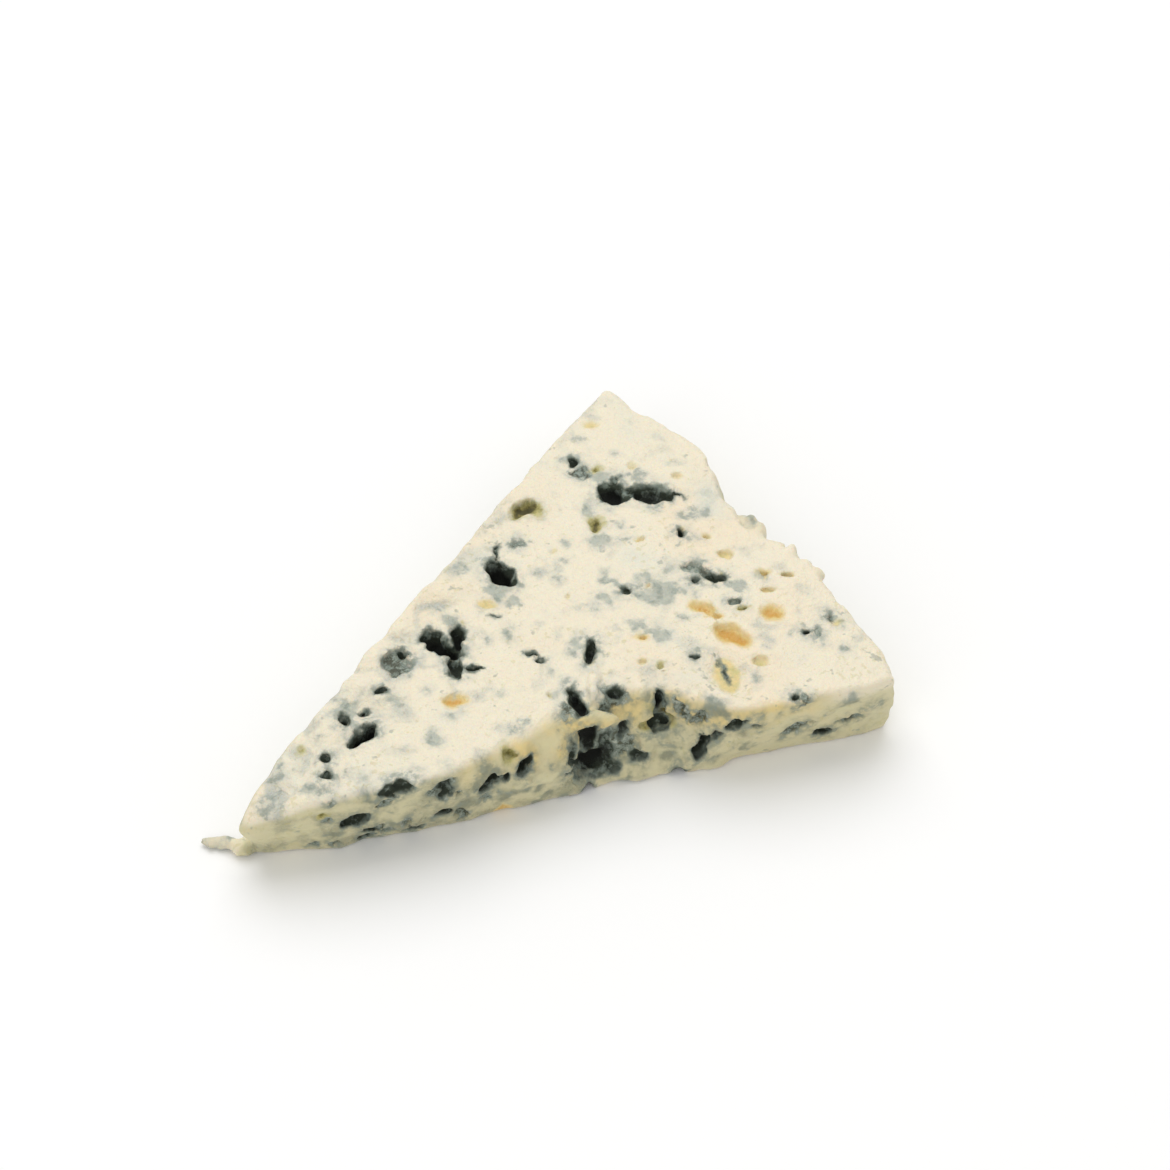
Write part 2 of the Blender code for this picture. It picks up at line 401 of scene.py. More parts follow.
    def edge(self, reach: Array, bearing: Array) -> Array:
        """Gives the radius of the upper edge, which is rounder at the near side and the tip.

        Args:
            reach: The distance from the wheel's centre.
            bearing: The bearing in degrees.

        Returns:
            The radius.
        """
        near = (self.near_edge_radius - self.edge_radius) * smooth_step(*self.near_edge_bearings, -bearing)
        edge = self.edge_radius + near
        return edge + (self.tip_edge_radius - edge) * fade((self.tip_reach, self.tip_edge_reach), reach)

    def smeared(self, points: Array) -> Array:
        """Gives where broken paste is kept pale: a painted highlight along the outer side's upper edge, and
        the tip's flake for its own pale colour.

        Args:
            points: Points, with their coordinates along the last axis.

        Returns:
            How much paler the paste is kept at each point, from 0 to 1.
        """
        reach, bearing = spread(points)
        from_top = points[..., 2] - self.thickness
        edge = smooth_step(*self.smear_reaches, reach) * smooth_step(*self.smear_heights, from_top)
        flake = smooth_step(*self.flake_bearings, bearing) * smooth_step(*self.flake_reaches, reach)
        return np.maximum(edge, flake)

    def place(self, face: Face, first: float, second: float) -> tuple[Array, Array]:
        """Finds a place on a face.

        Args:
            face: The face.
            first: The reach, or on the outer side the bearing.
            second: The bearing on a flat cut, or else the height.

        Returns:
            The place, and a matrix whose rows are the level direction there, the other
            direction in the face, and the way out of the face.
        """
        if face in (TOP, UNDER):
            spot = polar(first, second)
            spot[2] = self.top_height(first) if face is TOP else 0.0
            out = 1.0 if face is TOP else -1.0
            return spot, np.array(((1.0, 0.0, 0.0), (0.0, out, 0.0), (0.0, 0.0, out)))
        if face is RIND:
            spot = polar(self.radius - self.rind_loss / 2, first)
            out = polar(1.0, first)
        else:
            side = -1 if face is NEAR else 1
            out = self.cut_outward(side)
            spot = polar(first, side * self.half_angle)
            spot = spot - out * self.inset(side, first, second / self.thickness)
        spot[2] = second
        level = np.array((-out[1], out[0], 0.0))
        return spot, np.array((level, (0.0, 0.0, 1.0), out))


@dataclass(frozen=True)
class Curd:
    """A lump of paste that stands out of the wedge.

    Attributes:
        reach: How far its middle is from the wheel's centre.
        bearing: Its bearing in degrees.
        height: How high its middle is.
        length: Its longest size.
        width: Its size across that.
        thick: Its size from top to bottom.
        turn: The angle of its length from the wedge's middle line, in degrees.
    """

    reach: float
    bearing: float
    height: float
    length: float
    width: float
    thick: float
    turn: float = 0.0

    STRAY, STRAY_SIZE = 0.26, 1.5
    GRAIN, GRAIN_SIZE = 0.16, 0.8
    FILLET = 0.5

    def spot(self) -> Array:
        """Gives the lump's middle."""
        return polar(self.reach, self.bearing) + np.array((0.0, 0.0, self.height))

    def join(self, body: Array, points: Array, noise: Noise) -> Array:
        """Joins the lump to the paste.

        Args:
            body: The signed distance from the paste at the points.
            points: The points.
            noise: What makes the lump uneven.

        Returns:
            The new signed distance.
        """
        sizes = (self.length, self.width, self.thick)
        cosine, sine = math.cos(math.radians(self.turn)), math.sin(math.radians(self.turn))
        spin = np.array(((cosine, -sine, 0.0), (sine, cosine, 0.0), (0.0, 0.0, 1.0)), np.float32)
        ratio = ((points - self.spot().astype(np.float32)) @ spin) * 2 / np.array(sizes)
        lump = (np.sqrt((ratio * ratio).sum(-1)) - 1.0) * min(sizes) / 2
        lump = lump + self.STRAY * min(self.width, self.thick) * noise.at(points, self.STRAY_SIZE)
        lump = lump + self.GRAIN * noise.at(points, self.GRAIN_SIZE)
        return -round_max(-body, -lump.astype(np.float32), self.FILLET)


CURDS = (
    # The crumbly upper edge of the outer side
    Curd(96.6, 0.7, 12.4, 5.8, 3.2, 2.4, 84),
    Curd(97.8, -4.4, 12.4, 4.0, 2.8, 2.4, 80),
    Curd(99.2, -6.8, 12.6, 3.2, 2.6, 2.6, 60),
    # The bridge and the flap of paste above the broken place
    Curd(58.8, -14.7, 12.9, 6.0, 2.8, 2.6, -30),
    Curd(60.4, -9.6, 14.0, 5.2, 1.8, 1.8, 52),
    # The flake at the tip's foot
    Curd(8.5, 48.0, 0.6, 4.8, 2.4, 1.2, -40),
    Curd(8.7, 34.0, 0.7, 4.4, 2.4, 1.6, -36),
    Curd(9.0, 23.0, 0.9, 4.4, 2.8, 2.0, -36),
)


class Mould(Enum):
    """What a growth looks like."""

    PIT = "a deep black hollow"
    CAVE = "an open hollow lined with green mould"
    TUFT = "a shallow hollow full of grey-green tufts"
    GREY = "a pale grey patch with dark threads"
    STAIN = "mould that shows blue-grey through the paste"
    OLIVE = "a soft-edged pit of olive mould"
    OIL = "a smooth pit where amber fat gathered"
    WHEY = "a smooth pit of yellow-green whey"
    CRACK = "a thin dark crack"


PIT, CAVE, TUFT, GREY, STAIN, OLIVE, OIL, WHEY, CRACK = Mould


@dataclass(frozen=True)
class Habit:
    """How one kind of mould grows.

    Attributes:
        mark: The mesh attribute that it fills.
        depth: The hollow's depth as a share of its width.
        ragged: How far its outline strays, as a share of its width.
        lumps: How far curds stand into it, as a share of its width.
        halo: How far its grey bloom reaches past its edge.
        lip: The height of the lip that the knife raised round it.
        rim: How round its rim is, as a share of its width.
    """

    mark: str
    depth: float = 0.0
    ragged: float = 0.4
    lumps: float = 0.0
    halo: float = 0.0
    lip: float = 0.0
    rim: float = 0.07


HABITS = {
    PIT: Habit("cave", depth=1.5, ragged=0.26, lumps=0.20, halo=1.3, lip=0.14, rim=0.10),
    CAVE: Habit("cave", depth=0.70, ragged=0.32, lumps=0.26, halo=1.4, lip=0.14, rim=0.10),
    TUFT: Habit("tuft", depth=0.16, ragged=0.42, lumps=0.16, halo=1.1, lip=0.08, rim=0.2),
    GREY: Habit("grey", ragged=0.55, halo=0.7),
    STAIN: Habit("bloom", ragged=0.5),
    OLIVE: Habit("olive", depth=0.50, ragged=0.40, lumps=0.18, halo=0.6, lip=0.14, rim=0.22),
    OIL: Habit("oil", depth=0.28, ragged=0.22, rim=0.35),
    WHEY: Habit("whey", depth=0.10, ragged=0.28, rim=0.3),
    CRACK: Habit("cave", depth=1.8, ragged=0.6, halo=0.5),
}


@dataclass(frozen=True)
class Growth:
    """One growth of mould.

    Attributes:
        kind: What it looks like.
        first: Its reach, or on the outer side its bearing.
        second: Its bearing on a flat cut, or else its height.
        length: Its longer size.
        width: Its shorter size.
        turn: The angle of its length in the face, in degrees.
        face: The face that it opens on.
    """

    kind: Mould
    first: float
    second: float
    length: float
    width: float
    turn: float = 0.0
    face: Face = TOP


def grown(face: Face, *rows: tuple[Mould, float, float, float, float, float]) -> tuple[Growth, ...]:
    """Makes the growths of one face from rows of kind, first, second, length, width and turn."""
    return tuple(Growth(*row, face) for row in rows)


GROWTHS = grown(
    TOP,
    # The long slit near the outer side, and what surrounds it
    (CAVE, 86.0, 12.2, 5.4, 3.4, -62),
    (CAVE, 87.5, 13.2, 2.6, 1.3, 31),
    (CAVE, 89.5, 9.9, 6.2, 2.7, -54),
    (CRACK, 92.0, 7.9, 2.8, 0.7, -42),
    (GREY, 86.8, 14.8, 3.2, 2.4, -40),
    (STAIN, 90.6, 11.6, 4.4, 2.4, -45),
    (STAIN, 83.2, 11.0, 2.2, 1.6, -36),
    (PIT, 87.1, 17.9, 1.7, 0.9, -79),
    (GREY, 87.0, 17.2, 3.6, 2.6, -62),
    (TUFT, 86.6, 16.6, 3.6, 1.9, -52),
    (OLIVE, 88.0, 15.6, 1.4, 1.0, -74),
    (GREY, 91.5, 19.4, 1.7, 0.8, -68),
    (WHEY, 94.7, 19.3, 2.4, 1.5, -56),
    (WHEY, 91.5, 13.1, 1.3, 1.0, -36),
    (WHEY, 94.5, 9.4, 1.3, 1.0, -36),
    (STAIN, 91.4, 4.6, 5.6, 3.4, -36),
    # The olive pits
    (OLIVE, 75.3, 18.2, 4.8, 3.4, -36),
    (OLIVE, 79.6, 11.0, 3.0, 2.4, -100),
    (GREY, 80.4, 12.9, 2.8, 1.3, -103),
    (GREY, 77.8, 9.0, 3.2, 1.6, -49),
    (TUFT, 97.0, -11.7, 2.0, 1.6, -94),
    (WHEY, 97.7, -12.5, 2.2, 1.6, -62),
    (WHEY, 84.4, -14.3, 2.3, 1.7, -36),
    # The middle of the outer half
    (WHEY, 82.1, 5.9, 1.3, 0.9, -16),
    (PIT, 87.3, 3.9, 1.7, 1.1, -103),
    (STAIN, 87.2, 4.3, 3.6, 2.8, -36),
    (CAVE, 85.7, -2.5, 3.4, 1.5, -58),
    (CAVE, 83.2, -1.9, 1.8, 0.8, -36),
    (TUFT, 84.7, -0.8, 3.8, 2.2, -50),
    (GREY, 83.6, -0.2, 1.8, 1.4, -36),
    (STAIN, 84.6, -0.6, 2.6, 2.2, -36),
    (GREY, 85.7, 0.2, 2.4, 0.9, -36),
    (CAVE, 74.0, 1.3, 1.8, 1.2, -36),
    (GREY, 73.8, 3.5, 2.4, 1.2, -79),
    (GREY, 70.8, 1.9, 2.8, 1.1, -79),
    (STAIN, 74.0, 1.9, 3.6, 2.6, -70),
    (STAIN, 68.2, 1.7, 2.1, 1.5, -36),
    (GREY, 78.3, -1.6, 5.4, 4.8, -74),
    (GREY, 77.7, 1.8, 1.5, 1.2, -36),
    (GREY, 87.6, -4.5, 2.6, 2.0, -84),
    (TUFT, 85.7, -6.3, 1.9, 0.9, -43),
    (OLIVE, 85.9, -7.4, 1.3, 0.8, -36),
    # The amber pits
    (OIL, 81.3, -5.1, 3.8, 1.4, -60),
    (OIL, 82.0, -6.9, 2.0, 1.2, -74),
    (OIL, 83.0, -10.1, 5.9, 2.5, -70),
    (OIL, 89.8, -9.0, 3.0, 2.2, -76),
    (WHEY, 91.3, -6.6, 2.4, 1.0, -36),
    (OIL, 92.4, -4.7, 1.5, 1.1, -36),
    (WHEY, 95.3, -6.0, 1.8, 1.1, -36),
    (WHEY, 89.9, -0.7, 2.6, 1.1, -36),
    (OIL, 70.8, -5.7, 1.3, 0.9, -36),
    (WHEY, 79.0, -14.6, 6.4, 4.4, -110),
    (CRACK, 78.6, -13.8, 4.2, 0.45, -107),
    # The outer near corner
    (PIT, 92.6, -12.5, 1.2, 1.0, -36),
    (TUFT, 94.0, -13.0, 1.8, 0.8, 54),
    (STAIN, 92.6, -12.3, 3.6, 2.0, -74),
    (STAIN, 87.3, -12.3, 2.4, 1.8, 50),
    (STAIN, 76.4, -10.4, 3.2, 2.4, -36),
    (PIT, 76.0, -11.2, 1.2, 1.0, -36),
    (PIT, 86.8, -19.4, 1.4, 1.0, 50),
    (TUFT, 87.9, -19.7, 1.8, 1.0, -40),
    (GREY, 73.1, -6.7, 3.4, 1.7, -62),
    (GREY, 71.5, -4.2, 2.8, 1.8, -84),
    (OLIVE, 70.6, -10.5, 0.9, 0.8, 0),
    # The slits beside the notch
    (PIT, 63.2, -4.4, 4.4, 1.3, 48),
    (GREY, 62.3, -2.2, 4.0, 1.1, 39),
    (PIT, 57.0, -11.4, 5.2, 1.7, -106),
    (TUFT, 55.3, -11.8, 2.8, 1.8, 54),
    (STAIN, 57.4, -7.6, 3.6, 2.4, 54),
    (TUFT, 62.3, -12.1, 4.4, 3.4, -56),
    (PIT, 62.8, -11.6, 2.6, 1.4, -40),
    # The black hollow by the far edge, with its ring of grey
    (PIT, 63.4, 14.2, 5.4, 2.9, -82),
    (CAVE, 62.8, 11.6, 1.6, 1.2, -60),
    (CRACK, 66.0, 16.8, 3.0, 0.6, 50),
    (GREY, 60.6, 12.2, 4.2, 2.6, -74),
    (STAIN, 65.0, 16.0, 4.4, 3.0, -50),
    (TUFT, 69.2, 15.4, 1.5, 1.2, -74),
    (WHEY, 57.5, 11.6, 3.2, 1.8, -43),
    (GREY, 60.7, 9.6, 2.0, 1.4, -36),
    (GREY, 60.1, 18.7, 1.5, 1.2, -62),
    (CRACK, 55.6, 0.1, 1.9, 0.6, -47),
    (CRACK, 56.5, -1.7, 1.4, 0.5, -49),
    (STAIN, 52.6, 6.4, 3.0, 2.2, 54),
    (CRACK, 56.6, 8.9, 1.6, 0.5, -36),
    # The branched group nearer the tip
    (PIT, 47.2, 13.3, 3.0, 2.0, -36),
    (PIT, 49.9, 10.1, 4.4, 1.8, 54),
    (PIT, 46.9, 10.2, 5.0, 2.5, -60),
    (CAVE, 47.2, 8.0, 3.2, 2.4, -50),
    (STAIN, 48.8, 11.8, 2.8, 2.0, -36),
    (GREY, 51.4, 13.1, 2.6, 2.2, -36),
    (CRACK, 47.3, 3.2, 3.4, 0.9, -43),
    (CAVE, 46.1, 5.7, 4.0, 2.2, -107),
    (TUFT, 44.7, 3.8, 1.4, 1.1, -36),
    (PIT, 42.1, 15.2, 1.8, 1.2, -68),
    (TUFT, 39.7, 13.8, 4.4, 3.4, -103),
    (TUFT, 38.4, 11.8, 2.4, 1.4, -36),
    (PIT, 34.5, 10.6, 1.7, 1.0, -10),
    (GREY, 35.2, 6.6, 2.4, 1.1, -50),
    # The tip
    (PIT, 27.9, 3.2, 5.7, 2.1, 8),
    (STAIN, 30.2, 6.8, 3.4, 1.6, 2),
    (CRACK, 30.3, 9.2, 1.8, 0.7, 2),
    (CAVE, 26.9, 10.5, 2.4, 2.0, 54),
    (GREY, 28.4, 13.0, 5.0, 2.8, 20),
    (STAIN, 47.2, -11.7, 3.8, 2.8, 2),
    (GREY, 35.0, -8.2, 1.9, 1.6, 54),
    (STAIN, 15.0, 14.5, 3.4, 2.6, 2),
    (CAVE, 20.7, 2.3, 1.8, 1.5, 54),
    (STAIN, 20.6, 2.4, 3.6, 3.0, 54),
    (CAVE, 18.9, -5.8, 1.6, 1.3, -36),
    (STAIN, 18.0, -12.0, 3.8, 3.0, -36),
    (GREY, 15.9, -7.1, 1.6, 1.3, -36),
    (TUFT, 17.6, -18.0, 1.2, 1.0, -36),
    (STAIN, 10.0, 2.0, 5.0, 3.6, 30),
    (OIL, 41.9, -0.9, 3.4, 1.8, -29),
    (OLIVE, 19.4, 13.4, 1.2, 0.9, -36),
) + grown(
    NEAR,
    # The slits along the upper edge of the tip's half
    (CAVE, 27.8, 13.0, 5.8, 1.9, 4),
    (TUFT, 34.6, 10.6, 5.4, 2.7, 86),
    (CAVE, 34.7, 10.6, 4.8, 2.0, 86),
    (CAVE, 34.3, 4.8, 2.6, 1.5, 13),
    (GREY, 37.0, 5.4, 5.4, 1.4, 23),
    (PIT, 41.5, 8.5, 3.9, 1.9, 52),
    (CRACK, 43.5, 9.1, 3.0, 1.0, 25),
    (PIT, 46.2, 9.6, 3.2, 1.7, 52),
    (CAVE, 21.7, 7.2, 4.2, 2.4, 16),
    (CAVE, 24.4, 4.2, 3.4, 1.6, 16),
    (CAVE, 23.2, 1.6, 2.2, 1.6, 0),
    (CAVE, 30.4, 1.9, 2.8, 1.6, 0),
    (GREY, 18.4, 4.6, 2.6, 1.8, 0),
    (STAIN, 30.2, 6.4, 3.0, 2.4, 80),
    (STAIN, 25.0, 9.5, 4.0, 2.4, 10),
    (OLIVE, 44.4, 12.6, 2.2, 1.8, 80),
    (OLIVE, 16.6, 10.4, 1.3, 1.1, 0),
    # The broken place, where paste came away over a pocket of mould
    (TUFT, 57.8, 6.8, 9.4, 7.4, 88),
    (CAVE, 58.0, 5.3, 7.2, 4.0, -13),
    (CAVE, 57.3, 8.9, 6.2, 2.6, 80),
    (CAVE, 54.0, 8.6, 6.0, 1.6, 80),
    (CAVE, 60.3, 6.6, 6.0, 1.8, 96),
    # The side beyond it
    (CAVE, 62.4, 8.8, 3.0, 1.3, 66),
    (OLIVE, 67.6, 9.3, 4.6, 2.8, -6),
    (CAVE, 67.6, 9.0, 3.8, 1.9, -6),
    (PIT, 68.1, 12.2, 2.8, 1.4, 74),
    (CAVE, 64.2, 4.5, 2.2, 1.5, 0),
    (GREY, 68.8, 4.0, 1.9, 1.3, 90),
    (PIT, 73.3, 5.2, 5.2, 1.6, 66),
    (CAVE, 75.4, 8.0, 3.4, 1.3, 42),
    (CAVE, 78.0, 10.6, 4.0, 2.2, 19),
    (GREY, 75.6, 12.8, 3.4, 2.4, 0),
    (TUFT, 87.0, 6.4, 4.6, 2.0, 34),
    (CAVE, 91.5, 3.6, 3.0, 1.6, -12),
) + grown(
    FAR,
    (CAVE, 33.0, 6.5, 5.2, 2.4, -12),
    (CAVE, 52.0, 8.0, 7.2, 2.8, 9),
    (CAVE, 86.0, 5.8, 6.0, 3.2, -25),
) + grown(
    UNDER,
    (STAIN, 9.0, 44.5, 6.6, 3.0, -36),
)


@dataclass(frozen=True)
class Scatter:
    """Small growths of one kind, spread over one face.

    Attributes:
        kind: What they look like.
        face: The face they open on.
        count: How many there are.
        smallest: The smallest width.
        largest: The largest width.
    """

    kind: Mould
    face: Face
    count: int
    smallest: float
    largest: float


SCATTERS = tuple(
    Scatter(*row)
    for row in (
        (STAIN, TOP, 14, 0.7, 2.2),
        (GREY, TOP, 40, 0.4, 1.0),
        (WHEY, TOP, 12, 0.4, 0.8),
        (TUFT, NEAR, 16, 0.8, 1.8),
        (GREY, NEAR, 20, 0.8, 1.8),
        (STAIN, NEAR, 34, 1.2, 3.0),
        (CAVE, FAR, 9, 1.2, 2.6),
        (TUFT, FAR, 22, 1.0, 2.8),
        (GREY, FAR, 20, 1.0, 2.6),
        (STAIN, FAR, 34, 1.0, 3.2),
        (OLIVE, FAR, 5, 1.0, 2.2),
        (CAVE, RIND, 4, 1.0, 2.0),
        (TUFT, RIND, 7, 1.0, 2.0),
        (GREY, RIND, 12, 1.0, 2.2),
        (STAIN, RIND, 26, 1.0, 2.8),
        (OIL, RIND, 6, 0.8, 1.8),
        (CAVE, UNDER, 16, 1.6, 3.4),
        (TUFT, UNDER, 34, 1.0, 3.2),
        (GREY, UNDER, 40, 1.0, 3.0),
        (STAIN, UNDER, 70, 1.0, 3.6),
        (OLIVE, UNDER, 9, 1.0, 2.6),
        (OIL, UNDER, 9, 0.9, 2.6),
    )
)


class Hollow:
    """A growth put in its place on the wedge."""

    LIP_PLACE, LIP_SPREAD = 0.55, 0.45
    FRAY_SIZE, FRAY = 0.9, 0.22
    LUMP, SMALL_LUMP, SMALL_SIZE, LUMP_LEVEL = 0.8, 0.5, 0.6, 0.25
    LEAST_SIZE, WIDEST_LUMPS = 0.9, 3.5
    ROOM, SHIFT, TINY = 0.8, 31.0, 1e-6
    LEAST_DEPTH, SPARE = 0.5, 1.5
    MOUTH, WALL_GAIN, WALL_DEPTHS = 0.4, 0.3, (0.3, 1.0)

    def __init__(self, growth: Growth, form: WedgeForm, noise: Noise) -> None:
        """Works out where the growth lies.

        Args:
            growth: The growth.
            form: The wedge that it is in.
            noise: What makes its outline ragged.
        """
        self.growth = growth
        self.habit = HABITS[growth.kind]
        self.noise = noise
        self.spot, axes = form.place(growth.face, growth.first, growth.second)
        turn = math.radians(growth.turn)
        cosine, sine = math.cos(turn), math.sin(turn)
        spin = np.array(((cosine, sine, 0.0), (-sine, cosine, 0.0), (0.0, 0.0, 1.0)))
        self.axes = (spin @ axes).astype(np.float32)
        deep = max(self.habit.depth * growth.width, self.LEAST_DEPTH)
        self.halves = np.array((growth.length / 2, growth.width / 2, deep), np.float32)
        self.span = growth.length / 2 + growth.width * self.habit.ragged + self.habit.halo + self.SPARE

    def local(self, points: Array) -> Array:
        """Gives points along, across and out of the hollow, strayed so that it looks grown.

        Args:
            points: The points.

        Returns:
            Their places in the hollow's own directions.
        """
        local = (points - self.spot.astype(np.float32)) @ self.axes.T
        size = max(self.LEAST_SIZE, 0.75 * self.growth.width)
        far = self.habit.ragged * self.growth.width
        for axis in (0, 1):
            shift = self.SHIFT * (axis + 1)
            shifted = points + np.float32(shift)
            middle = (self.spot + shift).astype(np.float32)[None]
            local[..., axis] += far * (self.noise.at(shifted, size) - self.noise.at(middle, size)[0])
            local[..., axis] += self.FRAY * self.noise.at(shifted, self.FRAY_SIZE)
        return local

    @classmethod
    def distance(cls, local: Array, halves: Array) -> Array:
        """Gives the signed distance from a rounded outline of these half sizes.

        Args:
            local: Points in the outline's own directions.
            halves: Its half sizes.

        Returns:
            The distance, negative inside.
        """
        ratio = local / halves
        out = np.sqrt((ratio * ratio).sum(-1)) + cls.TINY
        slope = np.sqrt(((ratio / halves) ** 2).sum(-1)) + cls.TINY
        return out * (out - 1.0) / slope

    def outline(self, local: Array) -> Array:
        """Gives the signed distance from the growth's rounded outline, negative inside it."""
        return self.distance(local, self.halves)

    def footprint(self, local: Array) -> Array:
        """Gives the signed distance from the outline in the plane of the face, near that face."""
        beyond = np.maximum(np.abs(local[..., 2]) - self.halves[2] - self.ROOM, 0.0)
        return self.distance(local[..., :2], self.halves[:2]) + beyond

    def wall(self, outline: Array, points: Array) -> Array:
        """Gives the signed distance from the hollow's wall, where curds stand into it.

        Args:
            outline: The signed distance from the outline at the points.
            points: The points.

        Returns:
            The signed distance from the wall.
        """
        if not self.habit.lumps:
            return outline
        width = min(self.growth.width, self.WIDEST_LUMPS)
        size = max(self.LEAST_SIZE, width / 2)
        small = np.abs(self.noise.at(points, size * self.SMALL_SIZE))
        lumps = self.LUMP * self.noise.at(points, size) + self.SMALL_LUMP * small - self.LUMP_LEVEL
        return outline + self.habit.lumps * width * lumps

    def carve(self, body: Array, points: Array) -> Array:
        """Cuts the hollow out of the paste.

        Args:
            body: The signed distance from the paste at the points.
            points: The points.

        Returns:
            The new signed distance.
        """
        if self.habit.depth == 0.0:
            return body
        outline = self.outline(self.local(points))
        lip = self.habit.lip * np.exp(-(((outline - self.LIP_PLACE) / self.LIP_SPREAD) ** 2))
        wall = self.wall(outline, points)
        return round_max(body - lip, -wall, self.habit.rim * self.growth.width)

    def mark(self, marks: dict[str, Array], points: Array) -> None:
        """Writes the growth's marks.

        Args:
            marks: The named values of the mesh's points, which are changed.
            points: The mesh's points.
        """
        near = np.flatnonzero(np.linalg.norm(points - self.spot, axis=1) < self.span)
        if not len(near):
            return
        local = self.local(points[near])
        edge = footprint = self.footprint(local)
        if self.habit.mark == "cave":
            gain = self.WALL_GAIN * smooth_step(*self.WALL_DEPTHS, -local[..., 2])
            edge = self.wall(self.outline(local), points[near]) - gain
        own = marks[self.habit.mark]
        own[near] = np.maximum(own[near], -edge)
        if self.habit.halo:
            marks["bloom"][near] = np.maximum(marks["bloom"][near], self.habit.halo - footprint)
        if self.habit.depth:
            # deep: the depth below the face, which the material turns into painted shade that blackens the
            # hollow
            sunk = np.where(footprint < self.MOUTH, -local[..., 2], 0.0)
            marks["deep"][near] = np.maximum(marks["deep"][near], sunk)


class Culture:
    """All the mould in the wedge, with the haze that also paints shade in the top's low spots, and a
    yellower band under the near side's top edge.
    """

    SIDE_MARGIN = 1.8
    ANGLE_MARGIN = 1.5
    TIP_REACHES = (6.0, 34.0)
    BAND_DEPTHS, BAND_REACHES = (2.0, 11.0), (48.0, 70.0)
    SIDE_DEPTHS, CLEARING, CLEAR_REACHES = (1.0, 4.0), 0.7, (46.0, 62.0)
    TIP_VEIL, SIDE_VEIL = 0.9, 0.8
    LOW_LEVELS, LOW_LEAST, LOW_GAIN = (0.30, -0.35), 0.25, 1.1
    SEAM_LEVELS, SEAM_LEAST, SEAM_GAIN = (0.36, 0.04), 0.3, 0.9
    # The yellower band on the near side's upper part, just under the top edge
    FAT_DEPTHS, FAT_TOP, FAT_FOOT = (-2.2, -0.2), (-0.4, 1.0), (2.5, 6.5)
    FAT_OPENS, FAT_CLOSES = (34.0, 42.0), (84.0, 94.0)

    def __init__(self, form: WedgeForm, lie: Noise, seed: int) -> None:
        """Gathers the named growths and draws the small ones.

        Args:
            form: The wedge.
            lie: What makes the wedge's faces uneven.
            seed: The number that the random draws start from.
        """
        self.form = form
        self.lie = lie
        self.draw = np.random.default_rng(seed)
        self.noise = Noise(seed + 1)
        growths = list(GROWTHS)
        for scatter in SCATTERS:
            growths += [self.drawn(scatter) for _ in range(scatter.count)]
        self.hollows = [Hollow(growth, form, self.noise) for growth in growths]

    def drawn(self, scatter: Scatter) -> Growth:
        """Draws one small growth.

        Args:
            scatter: The kind, the face and the sizes to draw from.

        Returns:
            The growth.
        """
        form, draw = self.form, self.draw
        width = draw.uniform(scatter.smallest, scatter.largest)
        length = width * draw.uniform(1.1, 2.2)
        turn = draw.uniform(-90.0, 90.0)
        reach = form.radius * math.sqrt(draw.uniform(0.03, 0.96))
        bearing = draw.uniform(-1.0, 1.0) * (form.half_angle - self.ANGLE_MARGIN)
        height = draw.uniform(self.SIDE_MARGIN, form.thickness - self.SIDE_MARGIN)
        along = draw.uniform(0.14, 0.97) * form.radius
        first = {TOP: reach, UNDER: reach, NEAR: along, FAR: along, RIND: bearing}[scatter.face]
        second = bearing if scatter.face in (TOP, UNDER) else height
        return Growth(scatter.kind, first, second, length, width, turn, scatter.face)

    def veil(self, points: Array) -> Array:
        """Gives how much the paste is hazed: grey-blue mould, most at the tip and the sides, and painted
        shade in the low spots of the top at the tip and in the crevices between the raised curds along the
        far edge.

        Args:
            points: The mesh's points.

        Returns:
            One value for each point.
        """
        form = self.form
        reach, bearing = spread(points)
        from_far = reach * np.radians(form.half_angle - bearing)
        from_top = form.thickness - points[:, 2]
        tip = fade(self.TIP_REACHES, reach)
        far_band = fade(self.BAND_DEPTHS, from_far) * fade(self.BAND_REACHES, reach)
        clear = 1.0 - self.CLEARING * smooth_step(*self.CLEAR_REACHES, reach)
        sides = smooth_step(*self.SIDE_DEPTHS, from_top) * clear
        level = (points * np.array((1.0, 1.0, 0.0))).astype(np.float32)
        # At the tip the haze lies in the low spots of the top's relief: mould and painted shade
        low = smooth_step(*self.LOW_LEVELS, self.lie.at(level, form.top.ripple_size))
        low = self.LOW_LEAST + self.LOW_GAIN * low
        # Along the far edge it lies in the crevices between the raised curds: mould and painted shade
        seams = smooth_step(*self.SEAM_LEVELS, np.abs(self.lie.at(level, form.top.curd_size)))
        seams = self.SEAM_LEAST + self.SEAM_GAIN * seams
        veil = np.maximum(self.TIP_VEIL * tip * low, far_band * seams)
        return np.maximum(veil, self.SIDE_VEIL * sides).astype(np.float32)

    def gold(self, points: Array) -> Array:
        """Gives a yellower band on the near side's upper part, just under the top edge: most where the near
        side is broken.

        Args:
            points: The mesh's points.

        Returns:
            One value for each point.
        """
        form = self.form
        reach = np.hypot(points[:, 0], points[:, 1])
        depth = points @ form.cut_outward(-1) + form.notch(reach)
        from_top = form.thickness - points[:, 2]
        band = smooth_step(*self.FAT_DEPTHS, depth) * smooth_step(*self.FAT_TOP, from_top)
        along = smooth_step(*self.FAT_OPENS, reach) * fade(self.FAT_CLOSES, reach)
        return (band * along * fade(self.FAT_FOOT, from_top)).astype(np.float32)

    def marks(self, points: Array) -> dict[str, Array]:
        """Gives the named marks of every growth at the mesh's points, in millimetres.

        Args:
            points: The mesh's points.

        Returns:
            The values of each mark at the points.
        """
        names = sorted({habit.mark for habit in HABITS.values()})
        marks = {name: np.full(len(points), -FAR_AWAY, np.float32) for name in names}
        marks["deep"] = np.zeros(len(points), np.float32)
        marks["veil"] = self.veil(points)
        marks["gold"] = self.gold(points)
        for hollow in self.hollows:
            hollow.mark(marks, points)
        return marks


